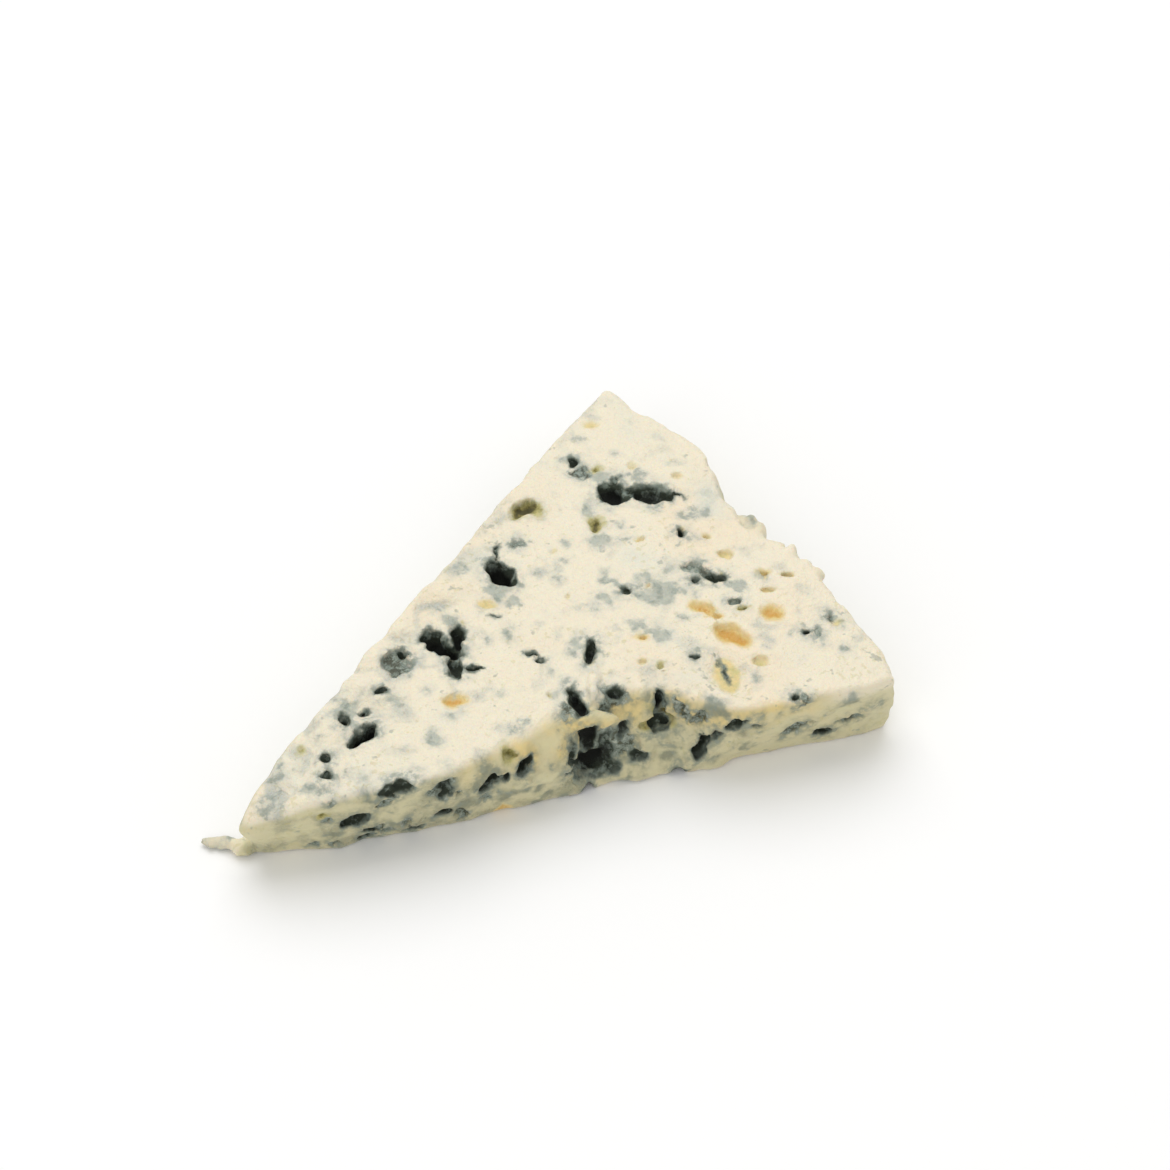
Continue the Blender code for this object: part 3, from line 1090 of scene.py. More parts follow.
class Block:
    """A block of space divided into small cubes."""

    def __init__(self, low: Array, high: Array, step: float) -> None:
        """Lays out the grid.

        Args:
            low: The lowest corner.
            high: The highest corner.
            step: The side of a cube.
        """
        self.low, self.step = low, step
        self.counts = np.ceil((high - low) / step).astype(int) + 1
        lines = [low[axis] + step * np.arange(self.counts[axis]) for axis in range(3)]
        self.points = np.stack(np.meshgrid(*lines, indexing="ij"), -1).astype(np.float32)

    def window(self, spot: Array, span: float) -> tuple[slice, slice, slice]:
        """Gives the part of the grid that lies within a span of a place.

        Args:
            spot: The place.
            span: How far from it the part reaches.

        Returns:
            The slices of the grid along its three axes.
        """
        first = np.clip(np.floor((spot - span - self.low) / self.step), 0, self.counts).astype(int)
        last = np.clip(np.ceil((spot + span - self.low) / self.step) + 1, 0, self.counts).astype(int)
        return tuple(slice(a, b) for a, b in zip(first, last))

    def skin(self, values: Array) -> tuple[Array, Array]:
        """Lays a closed net of quads over the zero level of a field.

        Args:
            values: The field at the grid's points, negative inside.

        Returns:
            The net's points, and its quads as rows of point numbers.
        """
        inside = values < 0.0
        cells = self.counts - 1
        count = np.zeros(cells, np.uint8)
        for corner in np.ndindex(2, 2, 2):
            count += inside[tuple(slice(c, c + n) for c, n in zip(corner, cells))]
        mixed = (count > 0) & (count < 8)
        number = np.full(cells, -1, np.int64)
        number[mixed] = np.arange(mixed.sum())
        places = np.argwhere(mixed)
        total = np.zeros((len(places), 3))
        hits = np.zeros(len(places))
        quads = []
        for axis in range(3):
            beside = ((axis + 1) % 3, (axis + 2) % 3)
            for offset in np.ndindex(2, 2):
                start = places.copy()
                start[:, beside[0]] += offset[0]
                start[:, beside[1]] += offset[1]
                end = start.copy()
                end[:, axis] += 1
                a, b = values[tuple(start.T)], values[tuple(end.T)]
                crossed = (a < 0.0) != (b < 0.0)
                point = start[crossed].astype(float)
                point[:, axis] += a[crossed] / (a[crossed] - b[crossed])
                total[crossed] += point
                hits[crossed] += 1
            quads.append(self.axis_quads(inside, number, axis, beside))
        return self.low + self.step * total / hits[:, None], np.concatenate(quads)

    @staticmethod
    def axis_quads(inside: Array, number: Array, axis: int, beside: tuple[int, int]) -> Array:
        """Makes the quads that cross the grid's lines along one axis.

        Args:
            inside: Whether each grid point is inside.
            number: The net's point number of each cell.
            axis: The lines' axis.
            beside: The two other axes, in the order that makes them right-handed.

        Returns:
            The quads as rows of point numbers, facing out.
        """
        steps = inside.shape[axis] - 1
        here = np.take(inside, range(steps), axis)
        there = np.take(inside, range(1, steps + 1), axis)
        lines = np.argwhere(here != there)
        u, v = np.eye(3, dtype=int)[list(beside)]
        corners = [lines - u - v, lines - v, lines, lines - u]
        quads = np.stack([number[tuple(c.T)] for c in corners], 1)
        inward = there[tuple(lines.T)]
        quads[inward] = quads[inward][:, ::-1]
        return quads


def largest_piece(points: Array, quads: Array) -> tuple[Array, Array]:
    """Drops every bit of a net that isn't joined to its largest piece.

    Args:
        points: The net's points.
        quads: Its quads as rows of point numbers.

    Returns:
        The points and quads of the largest piece.
    """
    label = np.arange(len(points))
    while True:
        lowest = label[quads].min(1)
        fresh = label.copy()
        np.minimum.at(fresh, quads.ravel(), np.repeat(lowest, 4))
        fresh = fresh[fresh]
        if np.array_equal(fresh, label):
            break
        label = fresh
    kept = label == np.bincount(label).argmax()
    number = np.cumsum(kept) - 1
    return points[kept], number[quads[kept[quads[:, 0]]]]


def mesh_object(name: str, points: Array, faces: list, marks: dict[str, Array]) -> bpy.types.Object:
    """Makes a smooth mesh object.

    Args:
        name: The piece's name.
        points: Its points, in metres.
        faces: Its faces, as rows of point numbers.
        marks: Named values of its points.

    Returns:
        The object, linked to the scene.
    """
    mesh = bpy.data.meshes.new(name)
    mesh.from_pydata([tuple(point) for point in points.tolist()], [], faces)
    mesh.shade_smooth()
    for mark, values in marks.items():
        mesh.attributes.new(mark, "FLOAT", "POINT").data.foreach_set("value", values.astype(np.float32))
    mesh.update()
    piece = bpy.data.objects.new(name, mesh)
    bpy.context.scene.collection.objects.link(piece)
    return piece


@dataclass(frozen=True)
class Patches:
    """Smooth noise that is cut into patches.

    Attributes:
        size: How wide one patch is, in metres.
        detail: How many finer layers the noise has.
        rough: How strong each finer layer is.
        levels: The noise where a patch begins and where it is full.
        shares: What it gives between the patches and in them.
    """

    size: float
    detail: float
    rough: float
    levels: Span
    shares: Span = (0.0, 1.0)


class Graph:
    """Writes the nodes of one material or node group."""

    def __init__(self, tree: bpy.types.NodeTree) -> None:
        """Starts on the material's or the group's node tree."""
        self.tree = tree

    def feed(self, target: Socket, value: object) -> None:
        """Links a socket to an input, or sets the input to a plain value.

        Args:
            target: The input.
            value: The socket or the value.
        """
        if isinstance(value, Socket):
            self.tree.links.new(value, target)
        else:
            target.default_value = value

    def node(self, kind: str, given: dict[str | int, object], **settings: object) -> bpy.types.Node:
        """Adds a node.

        Args:
            kind: The node's type.
            given: What each of its inputs is fed.
            settings: The node's own settings.

        Returns:
            The node.
        """
        made = self.tree.nodes.new(kind)
        for name, value in settings.items():
            setattr(made, name, value)
        for name, value in given.items():
            self.feed(made.inputs[name], value)
        return made

    def math(self, operation: str, first: object, second: object) -> Socket:
        """Adds a Math node and gives its result."""
        return self.node("ShaderNodeMath", {0: first, 1: second}, operation=operation).outputs[0]

    def times(self, first: object, second: object) -> Socket:
        """Multiplies two values."""
        return self.math("MULTIPLY", first, second)

    def plus(self, first: object, second: object) -> Socket:
        """Adds two values."""
        return self.math("ADD", first, second)

    def strayed(self, value: object, noise: Socket, amount: object) -> Socket:
        """Adds noise, centred on 0 and times an amount, to a value."""
        return self.plus(value, self.times(self.math("SUBTRACT", noise, 0.5), amount))

    def ramp(self, value: object, low: object, high: object, start: float = 0.0, end: float = 1.0) -> Socket:
        """Adds a smooth Map Range node from low..high to start..end and gives its result."""
        given = {"Value": value, "From Min": low, "From Max": high, "To Min": start, "To Max": end}
        return self.node("ShaderNodeMapRange", given, interpolation_type="SMOOTHSTEP").outputs["Result"]

    def mix(self, share: object, first: object, second: object, kind: str = "RGBA") -> Socket:
        """Adds a Mix node, of colours unless it is told FLOAT, and gives its result.

        Args:
            share: How much of the second there is.
            first: What is there.
            second: What is mixed in.
            kind: RGBA or FLOAT.

        Returns:
            The result.
        """
        made = self.node("ShaderNodeMix", {"Factor": share, "A": first, "B": second}, data_type=kind)
        wanted = "VALUE" if kind == "FLOAT" else kind
        return next(result for result in made.outputs if result.type == wanted)

    def blend(self, share: object, first: object, second: object) -> Socket:
        """Adds a number Mix node and gives its result."""
        return self.mix(share, first, second, "FLOAT")

    def noise(self, coords: Socket, size: float | Socket, detail: float, rough: float) -> Socket:
        """Adds a Noise Texture whose swells are size metres wide and gives its value.

        Args:
            coords: The texture coordinates.
            size: The size, as a number or a socket.
            detail: How many finer layers the noise has.
            rough: How strong each finer layer is.

        Returns:
            The value, from 0 to 1.
        """
        scale = self.math("DIVIDE", 1.0, size) if isinstance(size, Socket) else 1.0 / size
        given = {"Vector": coords, "Scale": scale, "Detail": detail, "Roughness": rough}
        return self.node("ShaderNodeTexNoise", given).outputs["Fac"]

    def patches(self, coords: Socket, kind: Patches) -> Socket:
        """Adds a noise that is cut into patches and gives its value."""
        return self.ramp(self.noise(coords, kind.size, kind.detail, kind.rough), *kind.levels, *kind.shares)

    def mark(self, name: str) -> Socket:
        """Adds an Attribute node for a named mark and gives its value."""
        return self.node("ShaderNodeAttribute", {}, attribute_name=name).outputs["Fac"]

    def group(self, tree: bpy.types.NodeTree, **values: object) -> Socket:
        """Places a shared group, feeds its inputs by name and gives its one output."""
        given = {name.title(): value for name, value in values.items()}
        return self.node("ShaderNodeGroup", given, node_tree=tree).outputs[0]


def start_group(name: str, inputs: dict[str, str], output: str) -> tuple[Graph, dict[str, Socket], Socket]:
    """Starts a shared node group.

    Args:
        name: The group's name.
        inputs: Each input's name and its socket type.
        output: The socket type of the one output.

    Returns:
        The group's graph, its inputs by name and the socket that takes its result.
    """
    tree = bpy.data.node_groups.new(name, "ShaderNodeTree")
    for label, kind in inputs.items():
        tree.interface.new_socket(label, in_out="INPUT", socket_type=kind)
    tree.interface.new_socket("Result", in_out="OUTPUT", socket_type=output)
    graph = Graph(tree)
    entry = graph.node("NodeGroupInput", {})
    result = graph.node("NodeGroupOutput", {})
    return graph, {label: entry.outputs[label] for label in inputs}, result.inputs["Result"]


NUMBER, COLOUR, VECTOR = "NodeSocketFloat", "NodeSocketColor", "NodeSocketVector"


class SharedEffects:
    """The node groups that the finishes share."""

    WARM_PATCHES = Patches(0.021, 3.0, 0.5, (0.48, 0.70))
    COOL_PATCHES = Patches(0.013, 4.0, 0.5, (0.52, 0.74))
    MOTTLE = Patches(0.0022, 4.0, 0.65, (0.50, 0.75), (0.0, 0.28))
    CROWDS = Patches(0.016, 2.0, 0.5, (0.35, 0.65), (0.05, -0.05))
    SPECK_EDGE = 0.09
    GRAIN = (0.0007, 3.0, 0.6)
    CURDS = (0.0019, 3.0, 0.55)
    SWIRL, SWIRL_SCALE, SWIRL_DETAIL = 1.7, 1.6, 3.0
    SEAM = (0.26, 0.02)

    def __init__(self) -> None:
        """Builds each group once."""
        self.ragged_mask = self.build_ragged_mask()
        self.paste_colour = self.build_paste_colour()
        self.specks = self.build_specks()
        self.curd_relief = self.build_curd_relief()
        self.curd_seams = self.build_curd_seams()

    @staticmethod
    def build_ragged_mask() -> bpy.types.NodeTree:
        """Builds the mask of a growth: its mark, cut off at a fuzzy uneven edge.

        Returns:
            The group's node tree.
        """
        inputs = {"Coords": VECTOR} | dict.fromkeys(("Mark", "Grow", "Soft", "Stray", "Size"), NUMBER)
        graph, given, result = start_group("ragged_mask", inputs, NUMBER)
        edge = graph.noise(given["Coords"], given["Size"], 3.0, 0.6)
        reached = graph.strayed(graph.plus(given["Mark"], given["Grow"]), edge, given["Stray"])
        graph.feed(result, graph.ramp(reached, graph.times(given["Soft"], -1.0), given["Soft"]))
        return graph.tree

    def build_paste_colour(self) -> bpy.types.NodeTree:
        """Builds the paste's colour: a base with warm and cool patches, and a fine mottle.

        Returns:
            The group's node tree.
        """
        inputs = {"Coords": VECTOR, "Base": COLOUR, "Warm": COLOUR, "Cool": COLOUR, "Patch": NUMBER}
        graph, given, result = start_group("paste_colour", inputs, COLOUR)
        coords, base, warm, cool, patch = given.values()
        colour = graph.mix(graph.times(graph.patches(coords, self.WARM_PATCHES), patch), base, warm)
        colour = graph.mix(graph.times(graph.patches(coords, self.COOL_PATCHES), patch), colour, cool)
        graph.feed(result, graph.mix(graph.patches(coords, self.MOTTLE), colour, warm))
        return graph.tree

    def build_specks(self) -> bpy.types.NodeTree:
        """Builds a mask of small uneven flecks, thicker in some places than in others.

        Returns:
            The group's node tree.
        """
        inputs = {"Coords": VECTOR, "Size": NUMBER, "Rare": NUMBER}
        graph, given, result = start_group("specks", inputs, NUMBER)
        flecks = graph.noise(given["Coords"], given["Size"], 2.0, 0.6)
        edge = graph.plus(given["Rare"], graph.patches(given["Coords"], self.CROWDS))
        graph.feed(result, graph.ramp(flecks, edge, graph.plus(edge, self.SPECK_EDGE)))
        return graph.tree

    def build_curd_relief(self) -> bpy.types.NodeTree:
        """Builds the height of the paste's fine grain, from 0 to 1.

        Returns:
            The group's node tree.
        """
        inputs = {"Coords": VECTOR, "Coarse": NUMBER}
        graph, given, result = start_group("curd_relief", inputs, NUMBER)
        grain, curds = (graph.noise(given["Coords"], *noise) for noise in (self.GRAIN, self.CURDS))
        graph.feed(result, graph.blend(given["Coarse"], grain, curds))
        return graph.tree

    def build_curd_seams(self) -> bpy.types.NodeTree:
        """Builds the mask of the uneven seams between pressed curds.

        Returns:
            The group's node tree.
        """
        inputs = {"Coords": VECTOR, "Size": NUMBER}
        graph, given, result = start_group("curd_seams", inputs, NUMBER)
        coords, size = given.values()
        scale = graph.math("DIVIDE", self.SWIRL_SCALE, size)
        swirl = {"Vector": coords, "Scale": scale, "Detail": self.SWIRL_DETAIL}
        swirl = {0: graph.node("ShaderNodeTexNoise", swirl).outputs["Color"], 1: (0.5, 0.5, 0.5)}
        swirl = graph.node("ShaderNodeVectorMath", swirl, operation="SUBTRACT")
        far = graph.node("ShaderNodeCombineXYZ", dict.fromkeys("XYZ", graph.times(size, self.SWIRL)))
        moved = {0: swirl.outputs["Vector"], 1: far.outputs["Vector"], 2: coords}
        moved = graph.node("ShaderNodeVectorMath", moved, operation="MULTIPLY_ADD").outputs["Vector"]
        cells = {"Vector": moved, "Scale": graph.math("DIVIDE", 1.0, size)}
        cells = graph.node("ShaderNodeTexVoronoi", cells, feature="DISTANCE_TO_EDGE")
        graph.feed(result, graph.ramp(cells.outputs["Distance"], *self.SEAM))
        return graph.tree


@dataclass(frozen=True)
class Cover:
    """How one kind of growth covers the paste.

    Attributes:
        mark: The mark that says where it is.
        grow: How far it grows past its outline, in millimetres.
        soft: How soft its edge is, in millimetres.
        stray: How far its edge strays, in millimetres.
        size: How wide one swell of that stray is, in metres.
        most: The most that it covers.
    """

    mark: str
    grow: float
    soft: float
    stray: float
    size: float
    most: float

    def mask(self, graph: Graph, coords: Socket, ragged_mask: bpy.types.NodeTree) -> Socket:
        """Places the mask of where it is.

        Args:
            graph: The material's graph.
            coords: The texture coordinates.
            ragged_mask: The shared group of such masks.

        Returns:
            The mask.
        """
        edge = {"grow": self.grow, "soft": self.soft, "stray": self.stray, "size": self.size}
        return graph.group(ragged_mask, mark=graph.mark(self.mark), coords=coords, **edge)


@dataclass(frozen=True)
class PasteFinish:
    """The cream paste and its mould.

    Attributes:
        name: The material's name.
        cut: The paste's colour where a knife smoothed it.
        warm: The colour of its warmer patches.
        cool: The colour of its greyer patches.
        torn: The colour of broken paste.
        black: The black deep in a hollow: the mould's own dark colour, darkened further with depth as
            painted shade.
        green: The mould on a hollow's walls.
        powder: The pale heads of the mould.
        grey: The colour of a grey patch.
        blue: The mould that shows through the paste.
        shade: The same, where it shows through broken paste.
        olive: The olive mould.
        moss: The darker olive mould in the middle of a pit.
        straw: The rim of an olive pit.
        oil: The amber fat.
        whey: The yellow-green whey.
        gold: A golden yellow: the band under the near side's top edge, and the paler edges of the fat and
            the whey.
    """

    name: str
    cut: Colour = tint(239, 230, 206)
    warm: Colour = tint(241, 226, 198)
    cool: Colour = tint(224, 224, 208)
    torn: Colour = tint(207, 200, 158)
    black: Colour = tint(18, 21, 15)
    green: Colour = tint(54, 62, 49)
    powder: Colour = tint(136, 147, 136)
    grey: Colour = tint(184, 188, 174)
    blue: Colour = tint(176, 184, 178)
    shade: Colour = tint(138, 140, 116)
    olive: Colour = tint(128, 118, 50)
    moss: Colour = tint(78, 72, 32)
    straw: Colour = tint(194, 186, 122)
    oil: Colour = tint(208, 156, 56)
    whey: Colour = tint(206, 194, 126)
    gold: Colour = tint(230, 206, 138)

    PATCHY, TORN = 0.75, 0.85
    CUT_ROUGH, TORN_ROUGH, OIL_ROUGH, MOULD_ROUGH = 0.42, 0.58, 0.28, 0.88
    GRAIN_HEIGHT, GRAIN_STRENGTH, SEAM_DEPTH, MOULD_GRAIN = 0.00045, 0.7, 0.5, 0.8
    SURFACE = {
        "Subsurface Weight": 0.25,
        "Subsurface Radius": (1.0, 0.62, 0.34),
        "Subsurface Scale": 1.2 * MM,
        "IOR": 1.44,
    }
    CLOUDS, VEIL = (0.0046, 4.0, 0.5), 0.17
    SEAM_SIZE, SEAM_LEVELS, SEAM_SHARES = 0.0027, (0.52, 0.78), (0.38, 0.30)
    HAZE_LEVELS = (0.52, 0.86, 0.0, 0.50)
    GOLD_PATCHES = Patches(0.0050, 3.0, 0.5, (0.36, 0.60), (0.15, 0.8))
    STRAW_SPECKS, STRAW_SHARE = {"size": 0.0011, "rare": 0.62}, 0.30
    GREY_SPECKS, GREY_SHARE = {"size": 0.0019, "rare": 0.66}, 0.50
    COARSE, FINE, TANGLE = (0.0016, 4.0, 0.62), (0.0006, 3.0, 0.65), (0.0011, 4.0, 0.7)
    GAPS = Patches(0.0011, 3.0, 0.6, (0.34, 0.60), (0.30, 1.0))
    BLOOM = Cover("bloom", -0.15, 1.0, 2.2, 0.0018, 0.56)
    DUST = Cover("bloom", -0.85, 0.4, 2.4, 0.0011, 0.55)
    OIL = Cover("oil", 0.3, 0.6, 1.0, 0.0014, 0.95)
    WHEY = Cover("whey", -0.1, 0.6, 1.0, 0.0014, 0.85)
    GREY = Cover("grey", 0.05, 0.5, 1.9, 0.0012, 0.74)
    TUFT = Cover("tuft", 0.0, 0.30, 1.7, 0.0011, 0.88)
    OLIVE = Cover("olive", 0.15, 0.6, 1.8, 0.0013, 0.92)
    CAVE = Cover("cave", 0.20, 0.30, 0.9, 0.0009, 1.0)

    def build(self, effects: SharedEffects) -> bpy.types.Material:
        """Builds the material.

        Args:
            effects: The shared node groups.

        Returns:
            The material.
        """
        material = bpy.data.materials.new(self.name)
        material.use_nodes = True
        graph = Graph(material.node_tree)
        coords = graph.node("ShaderNodeTexCoord", {}).outputs["Object"]
        torn = graph.mark("torn")
        base = {"base": self.cut, "warm": self.warm, "cool": self.cool, "patch": self.PATCHY}
        colour = graph.group(effects.paste_colour, coords=coords, **base)
        colour = graph.mix(graph.times(torn, self.TORN), colour, self.torn)
        rough = graph.blend(torn, self.CUT_ROUGH, self.TORN_ROUGH)
        relief = graph.group(effects.curd_relief, coords=coords, coarse=torn)
        colour, seams = self.clouded(graph, effects, coords, colour)
        relief = graph.math("SUBTRACT", relief, graph.times(seams, self.SEAM_DEPTH))
        colour, rough, relief = self.moulded(graph, effects, coords, colour, rough, relief)
        bump = {"Height": relief, "Distance": self.GRAIN_HEIGHT, "Strength": self.GRAIN_STRENGTH}
        normal = graph.node("ShaderNodeBump", bump).outputs["Normal"]
        shader = material.node_tree.nodes["Principled BSDF"]
        surface = {"Base Color": colour, "Roughness": rough, "Normal": normal} | self.SURFACE
        for name, value in surface.items():
            graph.feed(shader.inputs[name], value)
        return material

    def clouded(
        self, graph: Graph, effects: SharedEffects, coords: Socket, colour: Socket
    ) -> tuple[Socket, Socket]:
        """Adds the grey mould between the curds, the haze of the veil mark with its painted shade in the
        top's low spots, the yellower band and the tiny flecks in the paste.

        Args:
            graph: The material's graph.
            effects: The shared node groups.
            coords: The texture coordinates.
            colour: The paste's colour.

        Returns:
            The new colour, and the mask of the seams between curds.
        """
        torn = graph.mark("torn")
        haze = graph.mix(torn, self.blue, self.shade)
        # The veil mark brings mould haze, with painted shade in the top's low spots and crevices
        reach = graph.plus(graph.noise(coords, *self.CLOUDS), graph.times(graph.mark("veil"), self.VEIL))
        seams = graph.group(effects.curd_seams, coords=coords, size=self.SEAM_SIZE)
        seams = graph.times(seams, graph.ramp(reach, *self.SEAM_LEVELS))
        colour = graph.mix(graph.times(seams, graph.blend(torn, *self.SEAM_SHARES)), colour, haze)
        colour = graph.mix(graph.ramp(reach, *self.HAZE_LEVELS), colour, haze)
        gold = graph.times(graph.mark("gold"), graph.patches(coords, self.GOLD_PATCHES))
        colour = graph.mix(gold, colour, self.gold)
        straw = graph.group(effects.specks, coords=coords, **self.STRAW_SPECKS)
        grey = graph.group(effects.specks, coords=coords, **self.GREY_SPECKS)
        colour = graph.mix(graph.times(straw, self.STRAW_SHARE), colour, self.straw)
        return graph.mix(graph.times(grey, self.GREY_SHARE), colour, self.powder), seams

    def moulded(
        self,
        graph: Graph,
        effects: SharedEffects,
        coords: Socket,
        colour: Socket,
        rough: Socket,
        relief: Socket,
    ) -> tuple[Socket, Socket, Socket]:
        """Lays the mould over the paste.

        Args:
            graph: The material's graph.
            effects: The shared node groups.
            coords: The texture coordinates.
            colour: The paste's colour.
            rough: The paste's roughness.
            relief: The height of the paste's grain.

        Returns:
            The colour, the roughness and the height with the mould.
        """
        noises = (self.COARSE, self.FINE, self.TANGLE)
        coarse, fine, tangle = (graph.noise(coords, *noise) for noise in noises)
        torn = graph.mark("torn")
        gaps = graph.patches(coords, self.GAPS)
        masks = {}
        for cover, over in (
            (self.BLOOM, graph.mix(torn, self.blue, self.shade)),
            (self.DUST, self.powder),
            (self.OIL, self.fat(graph, coarse)),
            (self.WHEY, graph.mix(graph.ramp(coarse, 0.40, 0.62), self.whey, self.gold)),
            (self.GREY, self.threads(graph, torn, coarse)),
            (self.TUFT, self.fluff(graph, fine, tangle)),
            (self.OLIVE, self.olives(graph, tangle)),
            (self.CAVE, self.lining(graph, coarse, fine)),
        ):
            mask = cover.mask(graph, coords, effects.ragged_mask)
            if cover.mark == "bloom":
                mask = graph.times(mask, gaps)
            colour = graph.mix(graph.times(mask, cover.most), colour, over)
            masks[cover.mark] = mask
        dusty = graph.math("MAXIMUM", graph.math("MAXIMUM", masks["cave"], masks["tuft"]), masks["olive"])
        rough = graph.blend(dusty, graph.blend(masks["oil"], rough, self.OIL_ROUGH), self.MOULD_ROUGH)
        return colour, rough, graph.blend(graph.times(dusty, self.MOULD_GRAIN), relief, fine)

    def fat(self, graph: Graph, coarse: Socket) -> Socket:
        """Gives the colour of amber fat, which is deepest in the middle of a pit."""
        rich = graph.strayed(graph.mark("oil"), coarse, 1.6)
        return graph.mix(graph.ramp(rich, -0.15, 1.0), self.gold, self.oil)

    def threads(self, graph: Graph, torn: Socket, coarse: Socket) -> Socket:
        """Gives the colour of a grey patch and its darker threads."""
        colour = graph.mix(torn, self.grey, self.shade)
        return graph.mix(graph.ramp(coarse, 0.48, 0.66, 0.0, 0.9), colour, self.powder)

    def fluff(self, graph: Graph, fine: Socket, tangle: Socket) -> Socket:
        """Gives the colour of tufts: green, with pale heads, and blackened where they are deep as painted
        shade.

        Args:
            graph: The material's graph.
            fine: The finest noise.
            tangle: The noise of the tufts.

        Returns:
            The colour.
        """
        colour = graph.mix(graph.ramp(tangle, 0.42, 0.54), self.green, self.powder)
        colour = graph.mix(graph.ramp(tangle, 0.54, 0.66), colour, self.grey)
        sunk = graph.strayed(graph.mark("deep"), fine, 1.8)
        # Painted shade: the tufts blacken the deeper they lie
        return graph.mix(graph.ramp(sunk, 0.9, 2.6, 0.0, 0.6), colour, self.black)

    def olives(self, graph: Graph, tangle: Socket) -> Socket:
        """Gives the colour of olive mould, from its straw rim to its dark middle.

        Args:
            graph: The material's graph.
            tangle: The noise of the tufts.

        Returns:
            The colour.
        """
        thick = graph.strayed(graph.mark("olive"), tangle, 2.4)
        colour = graph.mix(graph.ramp(thick, -0.1, 0.8), self.straw, self.olive)
        return graph.mix(graph.ramp(thick, 0.40, 1.20), colour, self.moss)

    def lining(self, graph: Graph, coarse: Socket, fine: Socket) -> Socket:
        """Gives the colour of a hollow's lining: green and powdery, blackened deep down as painted shade,
        pale at the rim.

        Args:
            graph: The material's graph.
            coarse: The coarser noise.
            fine: The finest noise.

        Returns:
            The colour.
        """
        colour = graph.mix(graph.ramp(coarse, 0.50, 0.66, 0.0, 0.85), self.green, self.powder)
        sunk = graph.strayed(graph.mark("deep"), fine, 1.8)
        # Painted shade: the lining blackens the deeper it lies, over the mould's own dark green
        colour = graph.mix(graph.ramp(sunk, 0.7, 2.4), colour, self.black)
        return graph.mix(graph.ramp(graph.mark("cave"), 0.25, -0.15, 0.0, 0.6), colour, self.powder)


@dataclass
class PasteBody:
    """The wedge's paste, with its hollows, as one closed mesh."""

    form: WedgeForm = field(default_factory=WedgeForm)
    step: float = 0.395
    quick_step: float = 0.7
    margin: float = 3.2
    floor_gap: float = 0.05
    seed: int = 11
    rim_crumbs: int = 10
    rim_bearings: Span = (-12.0, 6.0)
    notch_crumbs: int = 16
    notch_reaches: Span = (46.0, 82.0)
    notch_heights: Span = (7.0, 13.0)
    torn_depths: Span = (-0.6, 1.2)
    # How much the painted highlight on the outer side's upper edge and the tip's flake take from the torn
    # colour
    smear_share: float = 0.7

    def build(self, centre: Vector) -> bpy.types.Object:
        """Carves the paste.

        Args:
            centre: The wheel's centre in the part's frame, in metres.

        Returns:
            The piece.
        """
        form = self.form
        half_width = form.radius * math.sin(math.radians(form.half_angle))
        low = np.array((0.0, -half_width, 0.0)) - self.margin
        high = np.array((form.radius, half_width, form.thickness)) + self.margin
        block = Block(low, high, self.step)
        noise = Noise(self.seed)
        culture = Culture(form, noise, self.seed)
        body, _ = form.distances(block.points, noise)
        for curd in CURDS + self.small_curds():
            window = block.window(curd.spot(), curd.length)
            body[window] = curd.join(body[window], block.points[window], noise)
        for hollow in culture.hollows:
            window = block.window(hollow.spot, hollow.span)
            body[window] = hollow.carve(body[window], block.points[window])
        body = np.maximum(body, self.floor_gap - block.points[..., 2])
        points, quads = largest_piece(*block.skin(body))
        marks = culture.marks(points)
        _, sideways = form.distances(points.astype(np.float32), noise)
        # Painted highlight: the outer side's upper edge keeps the pale cut colour; the tip's flake keeps its
        # own pale colour
        smeared = self.smear_share * form.smeared(points)
        marks["torn"] = smooth_step(*self.torn_depths, sideways) * (1.0 - smeared)
        placed = points * MM + np.array(centre)
        return mesh_object("paste_body", placed, quads.tolist(), marks)

    def small_curds(self) -> tuple[Curd, ...]:
        """Draws the small crumbs that cling to the outer side's upper edge and to the notch.

        Returns:
            The crumbs.
        """
        form, draw = self.form, np.random.default_rng(self.seed)
        found = []
        for _ in range(self.rim_crumbs):
            bearing = draw.uniform(*self.rim_bearings)
            reach = form.rim(bearing) - draw.uniform(0.5, 1.4)
            height = form.thickness - draw.uniform(0.4, 1.8)
            length, width = draw.uniform(1.2, 2.8), draw.uniform(1.2, 1.8)
            found.append(Curd(reach, bearing, height, length, width, width, draw.uniform(0.0, 180.0)))
        for _ in range(self.notch_crumbs):
            reach = draw.uniform(*self.notch_reaches)
            height = draw.uniform(*self.notch_heights)
            inset = form.inset(-1, reach, height / form.thickness)
            bearing = math.degrees(inset / reach) - form.half_angle
            length, width = draw.uniform(1.0, 2.4), draw.uniform(0.9, 1.6)
            found.append(Curd(reach, bearing, height, length, width, width, draw.uniform(0.0, 180.0)))
        return tuple(found)


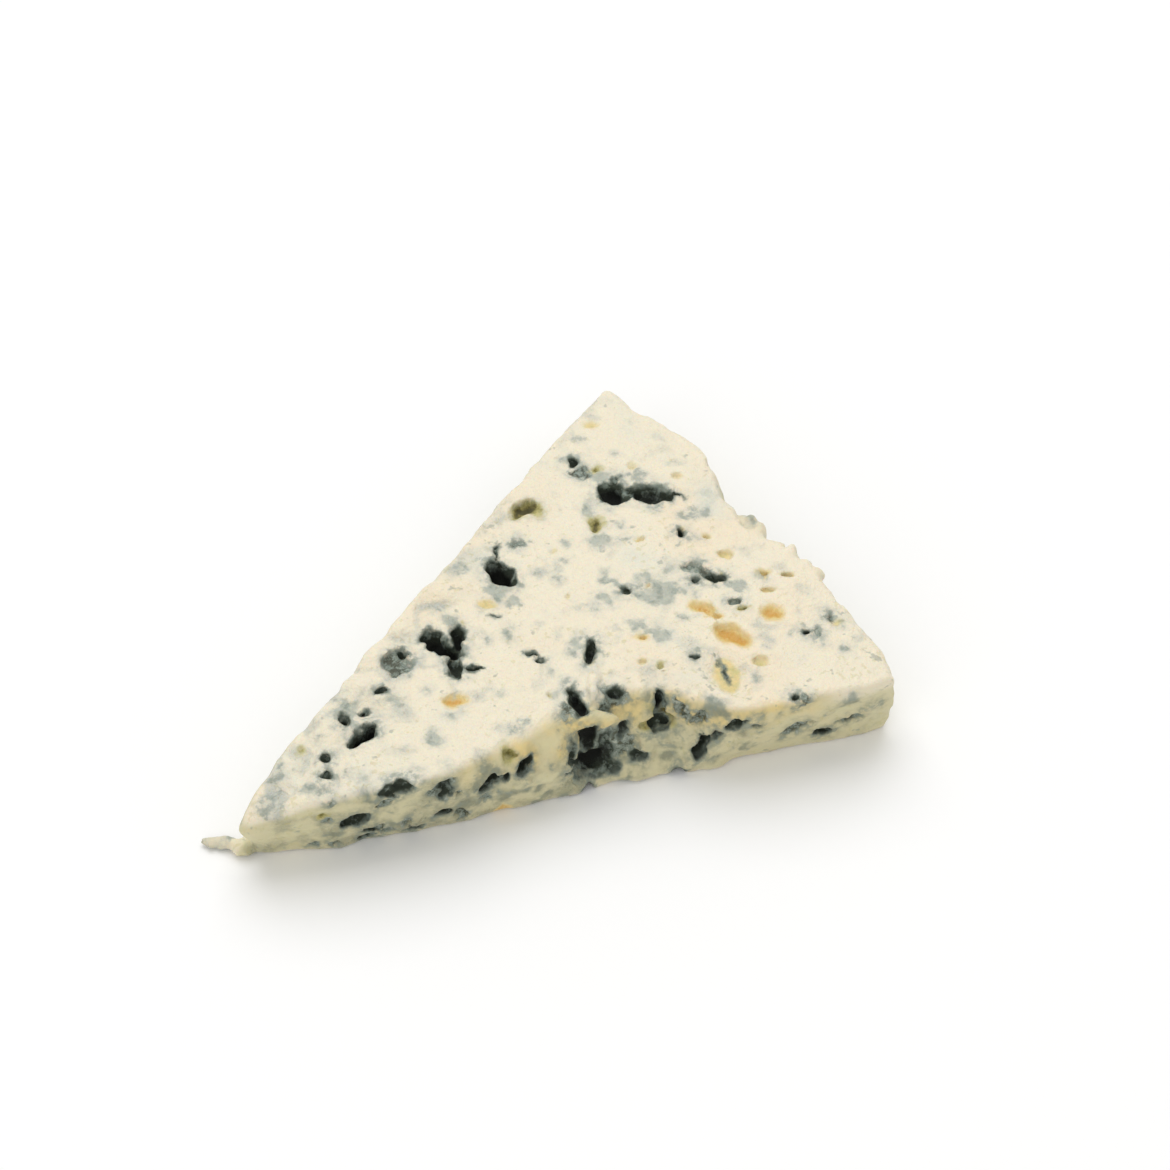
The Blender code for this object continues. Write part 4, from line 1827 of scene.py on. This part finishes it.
@dataclass
class Studio:
    """The floor, the lights and the camera."""

    floor_side: float = 4.0
    lens: float = 200.0
    sensor: float = 36.0
    view_width: float = 168.7 * MM
    azimuth: float = -36.0
    elevation: float = 48.6
    aim_reach: float = 60.0 * MM
    aim_right: float = 4.4 * MM
    aim_up: float = 8.0 * MM
    light_distance: float = 2.4
    light_side: float = 2.4
    world_strength: float = 0.57

    @staticmethod
    def outward(azimuth: float, elevation: float) -> Vector:
        """Gives the direction from the object at an angle round it and an angle above the floor."""
        a, e = math.radians(azimuth), math.radians(elevation)
        return Vector((math.sin(a) * math.cos(e), -math.cos(a) * math.cos(e), math.sin(e)))

    def build_camera(self, top_centre: Vector) -> None:
        """Puts the camera where the object fills its place in the view.

        Args:
            top_centre: The wheel's centre at the height of the top face.
        """
        data = bpy.data.cameras.new("camera")
        data.lens, data.sensor_width = self.lens, self.sensor
        camera = bpy.data.objects.new("camera", data)
        bpy.context.scene.collection.objects.link(camera)
        back = self.outward(self.azimuth, self.elevation)
        right = Vector((0.0, 0.0, 1.0)).cross(back).normalized()
        up = back.cross(right)
        aim = top_centre + Vector((self.aim_reach, 0.0, 0.0)) + right * self.aim_right + up * self.aim_up
        camera.location = aim + back * (self.view_width * self.lens / self.sensor)
        camera.rotation_euler = (-back).to_track_quat("-Z", "Y").to_euler()
        bpy.context.scene.camera = camera

    def build_floor(self) -> None:
        """Lays the pale floor."""
        half = self.floor_side / 2
        corners = np.array(((-half, -half, 0.0), (half, -half, 0.0), (half, half, 0.0), (-half, half, 0.0)))
        floor = mesh_object("floor", corners, [(0, 1, 2, 3)], {})
        material = bpy.data.materials.new("pale_table")
        material.use_nodes = True
        shader = material.node_tree.nodes["Principled BSDF"]
        shader.inputs["Base Color"].default_value = tint(252, 252, 252)
        shader.inputs["Roughness"].default_value = 0.6
        shader.inputs["Specular IOR Level"].default_value = 0.2
        floor.data.materials.append(material)

    def build_light(
        self, name: str, azimuth: float, elevation: float, power: float, colour: tuple[float, float, float]
    ) -> None:
        """Hangs one soft light that faces the object.

        Args:
            name: The light's name.
            azimuth: Where it hangs round the object, as for the camera.
            elevation: Its angle above the floor.
            power: Its power in watts.
            colour: Its colour.
        """
        back = self.outward(azimuth, elevation)
        data = bpy.data.lights.new(name, "AREA")
        data.shape, data.size = "SQUARE", self.light_side
        data.energy, data.color = power, colour
        light = bpy.data.objects.new(name, data)
        light.location = back * self.light_distance
        light.rotation_euler = back.to_track_quat("Z", "Y").to_euler()
        bpy.context.scene.collection.objects.link(light)

    def build(self, top_centre: Vector) -> None:
        """Builds the studio.

        Args:
            top_centre: The wheel's centre at the height of the top face.
        """
        self.build_camera(top_centre)
        self.build_floor()
        self.build_light("key", 150.0, 60.0, 33.0, (1.0, 1.0, 0.99))
        self.build_light("fill", -60.0, 35.0, 12.0, (1.0, 0.98, 0.94))
        world = bpy.data.worlds.new("studio")
        world.use_nodes = True
        shade = world.node_tree.nodes["Background"]
        shade.inputs["Color"].default_value = (1.0, 1.0, 1.0, 1.0)
        shade.inputs["Strength"].default_value = self.world_strength
        bpy.context.scene.world = world
        bpy.context.scene.view_settings.view_transform = "Standard"


def dress(piece: bpy.types.Object, material: bpy.types.Material) -> None:
    """Gives a piece its material and its body, and reports it.

    Args:
        piece: The piece.
        material: Its material.
    """
    piece.data.materials.append(material)
    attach(piece, "root")
    LOG.info("%s: %d points, %d faces", piece.name, len(piece.data.vertices), len(piece.data.polygons))


def main() -> None:
    """Builds every piece, then the studio."""
    logging.basicConfig(level=logging.INFO, format="%(name)s: %(message)s")
    effects = SharedEffects()
    body = PasteBody()
    low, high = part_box(CAD_NODE)
    centre = Vector((high.x - body.form.radius * MM, (low.y + high.y) / 2, low.z))
    paste = body.build(centre)
    dress(paste, PasteFinish("marbled_paste").build(effects))
    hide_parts(CAD_NODE)
    Studio().build(centre + Vector((0.0, 0.0, body.form.thickness * MM)))


if __name__ == "__main__":
    main()
